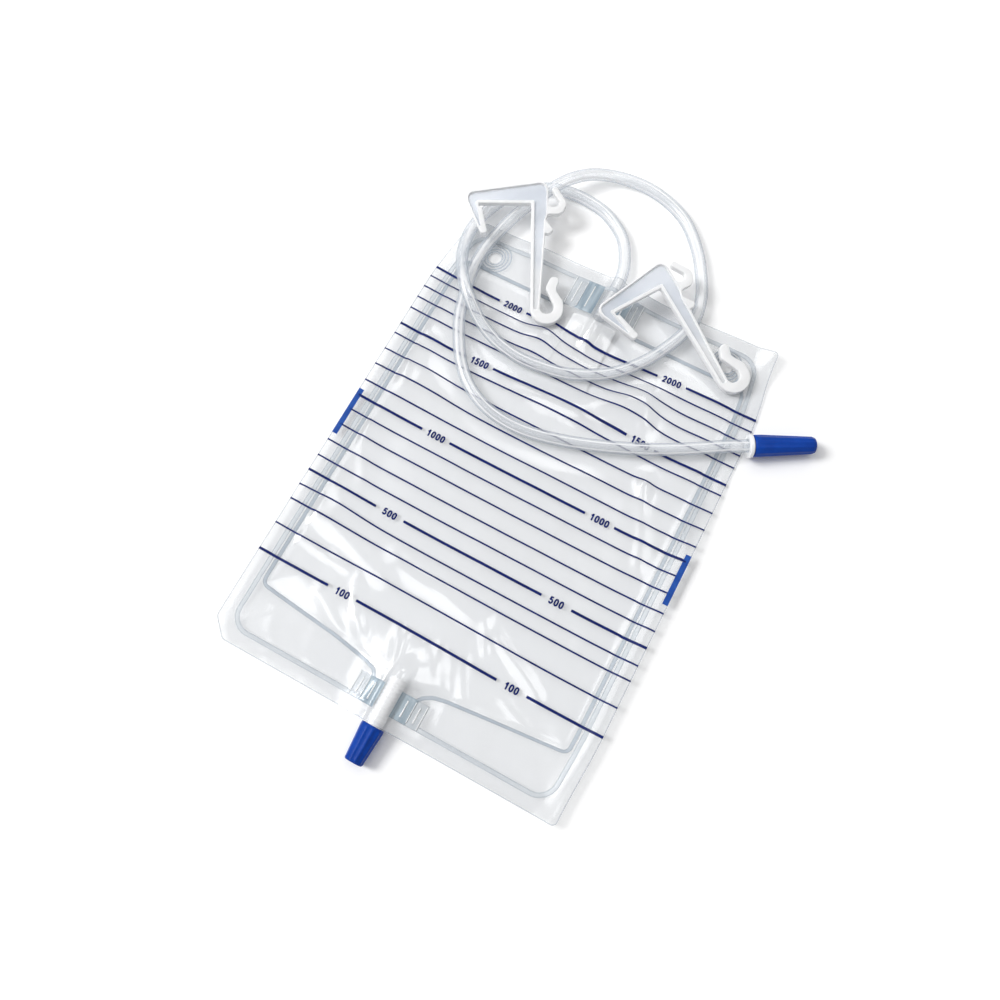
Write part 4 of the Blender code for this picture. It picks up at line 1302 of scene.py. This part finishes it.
def build_connector(white, blue):
    place = connector_place()
    face = FLANGE_THICKNESS / 2
    socket = TUBE_RADIUS + SOCKET_CLEARANCE
    collar_end = face + COLLAR_LENGTH
    profile = [
        (0, NOZZLE_BORE),
        (0, socket),
        (-SOCKET_DEPTH, socket),
        (-face, FLANGE_RADIUS - FLANGE_EDGE),
        (-face + FLANGE_EDGE, FLANGE_RADIUS),
        (face - FLANGE_EDGE, FLANGE_RADIUS),
        (face, FLANGE_RADIUS - FLANGE_FRONT_EDGE),
        (face, COLLAR_RADIUS),
        (collar_end, COLLAR_RADIUS),
        (collar_end, COLLAR_RADIUS - COLLAR_STEP),
    ]
    for share, radius in NOZZLE_STEPS:
        profile.append((collar_end + share * NOZZLE_LENGTH, radius * MM))
    profile += [(collar_end + NOZZLE_LENGTH, NOZZLE_BORE), (0, NOZZLE_BORE)]
    connector = turned_piece("tube_connector", profile, CONNECTOR_SIDES, place, white,
                             "connector")
    start = face + CAP_GAP
    end = start + CAP_LENGTH
    mouth = COLLAR_RADIUS + SLIDE_CLEARANCE + CAP_CLEARANCE
    cap = [
        (end, 0),
        *[(end - below * MM, share * CAP_END_RADIUS, flute) for below, share, flute in CAP_DOME],
        (start + CAP_SKIRT, CAP_RADIUS, 1.0),
        (start + CAP_LIP, CAP_RADIUS, 0.4),
        (start, CAP_RADIUS - CAP_EDGE),
        (start, mouth),
        (collar_end + CAP_SEAT[0], mouth),
        (collar_end + CAP_SEAT[1], COLLAR_RADIUS - CAP_NARROWING),
        (end - CAP_HOLLOW_CONE, CAP_END_RADIUS - CAP_WALL),
        (end - CAP_END_WALL, 0),
    ]
    piece = turned_piece("blue_cap", cap, CAP_FLUTE_SIDES * CAP_FLUTES, place, blue,
                         "connector_cap", "cap", CAP_FLUTES, CAP_FLUTE_DEPTH)
    return connector, piece


def outlet_place():
    """Local X runs out of the bag from its bottom edge."""
    return (Matrix.Translation((OUTLET_X, -HALF_HEIGHT, OUTLET_AXIS_Z))
            @ Matrix.Rotation(-math.pi / 2, 4, "Z"))


def build_sleeve(blue):
    seat = SLEEVE_START + SLEEVE_BORE_DEPTH
    bore = OUTLET_RADIUS + SLIDE_CLEARANCE
    end = SLEEVE_START + SLEEVE_LENGTH
    profile = [
        (seat + SLEEVE_SEAT[0], bore),
        (SLEEVE_START, bore),
        (SLEEVE_START, SLEEVE_RADIUS - SLEEVE_EDGES[0]),
        (SLEEVE_START + SLEEVE_SHOULDER, SLEEVE_RADIUS, 1.0),
        (end - SLEEVE_SHOULDER, SLEEVE_END_RADIUS, 0.8),
        (end - SLEEVE_LIP, SLEEVE_END_RADIUS, 0.2),
        (end, SLEEVE_END_RADIUS - SLEEVE_EDGES[1]),
        (end, SLEEVE_MOUTH + MOUTH_BEVEL[1]),
        (end - MOUTH_BEVEL[0], SLEEVE_MOUTH),
        (seat + SLEEVE_SEAT[1], SLEEVE_MOUTH),
        (seat + SLEEVE_SEAT[0], bore),
    ]
    return turned_piece("blue_sleeve", profile, SLEEVE_FLUTE_SIDES * SLEEVE_FLUTES,
                        outlet_place(), blue, "drain_sleeve", "sleeve",
                        SLEEVE_FLUTES, SLEEVE_FLUTE_DEPTH)


def hanger_loop(corners, inset=0.0):
    corners = metres(corners)
    if inset:
        corners = inset_corners(corners, inset)
    return rounded_loop(corners)


def build_hanger(name, node, place, rim, web):
    """Both faces have a recess in arm and stem; the outline's edges are rounded."""
    depth = (HANGER_THICKNESS - HANGER_WEB) / 2
    bm = bmesh.new()

    def ring(loop, z):
        return [bm.verts.new((point.x, point.y, z)) for point in loop]

    def walls(first, second):
        for index in range(len(first)):
            bm.faces.new((first[index - 1], first[index], second[index], second[index - 1]))

    def fill(loops, rings, slot=0):
        flat = [[point.to_3d() for point in loop] for loop in loops]
        verts = [vert for loop in rings for vert in loop]
        for triangle in geometry.tessellate_polygon(flat):
            face = bm.faces.new([verts[corner] for corner in triangle])
            face.material_index = slot

    sides = []
    for level, down in ((0, -1), (-HANGER_THICKNESS, 1)):
        rings = []
        for step in range(HANGER_ROUNDING_STEPS + 1):
            turn = math.pi / 2 * step / HANGER_ROUNDING_STEPS
            loop = hanger_loop(HANGER_CORNERS, HANGER_ROUNDING * (1 - math.sin(turn)))
            rings.append(ring(loop, level + down * HANGER_ROUNDING * (1 - math.cos(turn))))
            if step == 0:
                face_loop = loop
        for first, second in zip(rings, rings[1:]):
            walls(first, second)
        sides.append(rings[-1])
        mouth = hanger_loop(HANGER_RECESS)
        floor_loop = hanger_loop(HANGER_RECESS, RECESS_SLOPE)
        edge = ring(mouth, level)
        floor = ring(floor_loop, level + down * depth)
        fill((face_loop, mouth), (rings[0], edge))
        walls(edge, floor)
        fill((floor_loop,), (floor,), 1)
    walls(*sides)
    bmesh.ops.recalc_face_normals(bm, faces=bm.faces)
    mesh = bpy.data.meshes.new(name)
    bm.to_mesh(mesh)
    bm.free()
    spot, heading, tilt = place
    place = (Matrix.Translation(spot) @ Matrix.Rotation(math.radians(heading), 4, "Z")
             @ Matrix.Rotation(math.radians(tilt), 4, "X"))
    piece = add_piece(name, mesh, (rim, web), crease=35, place=place)
    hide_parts(node)


def build_valve(material, seam):
    """Two soft films under the inlet, and their welded seams."""
    parts = []
    share, down = np.meshgrid(np.linspace(-0.5, 0.5, VALVE_COLUMNS),
                              np.linspace(0, 1, VALVE_ROWS))
    width = VALVE_TOP_WIDTH + (VALVE_BOTTOM_WIDTH - VALVE_TOP_WIDTH) * down
    x = VALVE_X + share * width
    y = VALVE_TOP + (VALVE_BOTTOM - VALVE_TOP) * down
    ripple = VALVE_RIPPLE * np.sin(x / VALVE_WAVE) * np.sin(math.pi * down)
    for lift in (-VALVE_HALF_GAP, VALVE_HALF_GAP):
        verts = np.stack([x, y, film_levels(x, y)[0] + lift + ripple], -1).reshape(-1, 3)
        parts.append((verts, grid_faces(*x.shape)))
    piece = make_piece("valve_sheet", *joined(parts), material)
    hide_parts("valve_back_film", "valve_front_film")
    lines = [strip_on_film(metres(line), band_profile(VALVE_SEAM), step=1.0 * MM,
                           surface=on_valve) for line in VALVE_SEAMS]
    make_piece("valve_seams", *joined(lines), seam)
    return piece


def number_strips(text, centre_x, centre_y):
    """A number written with a broad pen, on the front film."""
    strips = []
    low = centre_y - DIGIT_HEIGHT / 2
    for index, digit in enumerate(text):
        left = centre_x + (index - (len(text) - 1) / 2) * DIGIT_PITCH - DIGIT_WIDTH / 2
        for closed, points in DIGIT_STROKES[digit]:
            line = [(left + x * DIGIT_WIDTH, low + y * DIGIT_HEIGHT) for x, y in points]
            strips.append(strip_on_film(line, flat_profile(DIGIT_PEN, INK_LIFT), closed,
                                        DIGIT_STEP))
    return strips


def build_print(ink, bar_ink):
    """Lines, numbers and side bars, just over the front film."""
    parts = []
    for value, height in SCALE_LINES.items():
        y = height * MM
        thick = value in NUMBERED_LINES
        edge = HALF_WIDTH
        if BAR_FROM < y < BAR_TO:
            edge -= BAR_WIDTH / 2
        stops = [-edge, edge]
        if thick:
            stops[1:1] = [side * NUMBER_X + half * NUMBER_GAP / 2
                          for side in (-1, 1) for half in (-1, 1)]
            for side in (-1, 1):
                parts += number_strips(str(value), side * NUMBER_X, y)
        for start, end in zip(stops[::2], stops[1::2]):
            profile = flat_profile(THICK_LINE if thick else THIN_LINE, INK_LIFT)
            parts.append(strip_on_film([(start, y), (end, y)], profile, step=INK_STEP))
    scale = make_piece("scale_print", *joined(parts), ink)
    bars = []
    half = BAR_WIDTH / 2
    for x in (half - HALF_WIDTH, HALF_WIDTH - half):
        profile = ((-half, INK_LIFT), (0, INK_LIFT), (half, INK_LIFT))
        bars.append(strip_on_film([(x, BAR_FROM), (x, BAR_TO)], profile, step=INK_STEP))
    bar = make_piece("side_bars", *joined(bars), bar_ink)


def build_welds(weld, outer, line, pad, rib):
    """Weld bands with fine edge lines, eyelet rings, and the pads beside the ports."""
    pale = []
    bands = []
    lines = [strip_on_film(film_edge(), flat_profile(EDGE_LINE, EDGE_LINE_LIFT, EDGE_LINE_INSET))]
    paths = [(outer_weld_line(), WELD_BANDS[0], pale)]
    for corners in CHAMBER_WELDS:
        paths.append((rounded_loop(metres(corners)), WELD_BANDS[1], bands))
    for path, width, parts in paths:
        parts.append(strip_on_film(path, band_profile(width)))
        for offset in (-width / 2, width / 2):
            lines.append(strip_on_film(path, flat_profile(WELD_LINE, EDGE_LINE_LIFT, offset)))
    for centre in EYELETS:
        for radius in EYELET_RINGS:
            bands.append(strip_on_film(circle(centre, radius), band_profile(EYELET_BAND), True))
    inner = []
    ribs = []
    for low, high, bottom, top in metres(PADS):
        far, near = (low, high) if high < 0 else (high, low)
        split = far + PAD_SPLIT * (near - far)
        for start, end, parts in ((far, split, pale), (split, near, inner)):
            parts.append(patch_on_film(min(start, end), max(start, end), bottom, top))
        # Ribs drawn near-white: painted highlight along each pad
        for share, inset, width in PAD_RIBS:
            x = far + (near - far) * share
            half = width * MM / 2
            profile = ((-half, PAD_HEIGHT), (-half / 2, RIB_HEIGHT), (half / 2, RIB_HEIGHT),
                       (half, PAD_HEIGHT))
            line_ends = [Vector((x, y)) for y in (bottom + inset * MM, top - inset * MM)]
            ribs.append(strip_on_film(line_ends, profile, step=RIB_STEP))
    for name, parts, material in (("outer_weld", pale, outer), ("weld_bands", bands, weld),
                                  ("edge_lines", lines, line), ("port_pads", inner, pad),
                                  ("pad_ribs", ribs, rib)):
        make_piece(name, *joined(parts), material)


# Floor and light

def seen_directly(tree):
    """1 for what the camera, a reflection or a clear piece shows of the background, else 0."""
    path = tree.nodes.new("ShaderNodeLightPath").outputs
    value = path["Is Camera Ray"]
    for ray in ("Is Glossy Ray", "Is Transmission Ray"):
        value = add_node(tree, "Math", {0: value, 1: path[ray]}, operation="MAXIMUM")
    return value


def build_floor():
    """White floor that keeps the object's shadow and is plain white further out."""
    mesh = bpy.data.meshes.new("floor")
    half = FLOOR_HALF
    mesh.from_pydata([(-half, -half, 0), (half, -half, 0), (half, half, 0), (-half, half, 0)],
                     [], [(0, 1, 2, 3)])
    material, tree, shader, _ = new_material("floor")
    place = add_node(tree, "TexCoord", {}, "Object")
    away = add_node(tree, "VectorMath", {0: place}, "Value", operation="LENGTH")
    glow = mapped(tree, away, FLOOR_GLOW, 1.0, *FLOOR_GLOW_RUN)
    shown = add_node(tree, "Math", {0: glow, 1: seen_directly(tree)}, operation="MULTIPLY")
    set_inputs(tree, shader, {
        "Base Color": (*FLOOR_COLOUR, 1.0), "Roughness": 0.9, "Specular IOR Level": 0.0,
        "Emission Color": (1, 1, 1, 1), "Emission Strength": shown})
    mesh.materials.append(material)
    floor = bpy.data.objects.new("floor", mesh)
    bpy.context.scene.collection.objects.link(floor)


def add_light(name, place, size, power):
    """A square lamp that faces the middle of the bag."""
    data = bpy.data.lights.new(name, "AREA")
    data.size = size
    data.energy = power
    light = bpy.data.objects.new(name, data)
    light.location = place
    light.rotation_euler = (-Vector(place)).to_track_quat("-Z", "Y").to_euler()
    bpy.context.scene.collection.objects.link(light)


def add_world():
    """Soft light from all around; reflections show it as plain white."""
    world = bpy.data.worlds.new("world")
    world.use_nodes = True
    tree = world.node_tree
    level = mapped(tree, seen_directly(tree), WORLD_LIGHT, 1.0, 0.0, 1.0)
    set_inputs(tree, tree.nodes["Background"], {"Color": (1, 1, 1, 1), "Strength": level})
    bpy.context.scene.world = world
    bpy.context.scene.view_settings.view_transform = "Standard"


def main():
    place_camera()
    tube = build_tube(tube_material())

    white = plastic_material("white_plastic", ((0.97, 0.975, 0.98), (0.985, 0.985, 0.99)),
                             0.4, 90, subsurface=0.1, depth=0.4 * MM)
    connector_white = plastic_material("connector_plastic",
                                       ((0.86, 0.88, 0.90), (0.95, 0.955, 0.96)),
                                       0.25, 90, coat=0.4, subsurface=0.3)
    blue = plastic_material("blue_plastic", ((0.003, 0.042, 0.29), (0.005, 0.058, 0.38)),
                            0.32, 120, coat=0.02, specular=0.1)
    rubber = plastic_material("seal_rubber", ((0.02, 0.02, 0.022), (0.04, 0.04, 0.042)),
                              0.6, 150, 0.02 * MM)
    hanger_rim = plastic_material("hanger_rim", ((0.97, 0.975, 0.985), (0.98, 0.985, 0.99)),
                                  0.35, 70, coat=0.1, subsurface=0.2, depth=0.4 * MM,
                                  specular=0.3)
    see_through(hanger_rim, 0.15)
    hanger_web = hanger_material()
    see_through(hanger_web, 0.45)
    film = clear_material("clear_film", (0.955, 0.96, 0.967),
                          ((0.90, 0.91, 0.92), (0.95, 0.955, 0.96)),
                          (0.10, 0.19), 0.35, 0.11, 0.17, scale=24)
    back = clear_material("back_film", (0.95, 0.955, 0.962),
                          ((0.86, 0.87, 0.88), (0.92, 0.925, 0.93)),
                          (0.07, 0.15), 0.4, 0.03, scale=22)
    weld = clear_material("weld", (0.86, 0.89, 0.93),
                          ((0.44, 0.50, 0.56), (0.54, 0.60, 0.66)),
                          (0.46, 0.60), 0.35, 0.03)
    outer = clear_material("outer_weld", (0.93, 0.945, 0.965),
                           ((0.62, 0.67, 0.71), (0.76, 0.80, 0.83)),
                           (0.30, 0.50), 0.35, 0.03, scale=30)
    line = clear_material("edge_line", (0.86, 0.88, 0.90),
                          ((0.38, 0.43, 0.47), (0.50, 0.55, 0.59)),
                          (0.45, 0.65), 0.35, 0.03)
    pad = clear_material("port_pad", (0.72, 0.79, 0.84),
                         ((0.22, 0.31, 0.39), (0.54, 0.63, 0.69)),
                         (0.55, 0.75), 0.25, 0.05, 0.10, scale=260, stretch=(1, 0.15, 1))
    # Near-white: on the pads' ribs it is painted highlight; the valve's seams use it too
    rib = clear_material("pad_rib", (0.97, 0.975, 0.98),
                         ((0.92, 0.94, 0.95), (0.98, 0.98, 0.985)),
                         (0.70, 0.88), 0.2, 0.05, 0.08, scale=120)
    valve = clear_material("valve_film", (0.98, 0.985, 0.985),
                           ((0.96, 0.97, 0.975), (0.985, 0.985, 0.99)),
                           (0.70, 0.88), 0.3, 0.04, scale=50, stretch=(1, 0.25, 1))
    ink = ink_material("scale_ink", (0.001, 0.008, 0.09), (0.002, 0.013, 0.13))
    bar_ink = ink_material("bar_ink", (0.012, 0.06, 0.30), (0.02, 0.09, 0.38))

    x, y = film_rows()
    middle, front, half_gap = film_levels(x, y)
    front_sheet = build_film("front_sheet", x, y, middle + front, film)
    back_sheet = build_film("back_sheet", x, y,
                            np.maximum(middle - half_gap, BACK_FILM_HEIGHT), back)
    for piece, node in ((front_sheet, "front_film"), (back_sheet, "back_film")):
        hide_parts(node)
    valve_sheet = build_valve(valve, rib)
    build_print(ink, bar_ink)
    build_welds(weld, outer, line, pad, rib)
    connector, cap = build_connector(connector_white, blue)
    build_sleeve(blue)
    for node, place in HANGER_PLACES.items():
        build_hanger(node + "_moulding", node, place, hanger_rim, hanger_web)
    for node, material in (("outlet_body", white), ("outlet_seal", rubber)):
        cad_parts[node].material_slots[0].material = material

    build_floor()
    for name, (place, size, power) in LAMPS.items():
        add_light(name, place, size, power)
    add_world()


main()
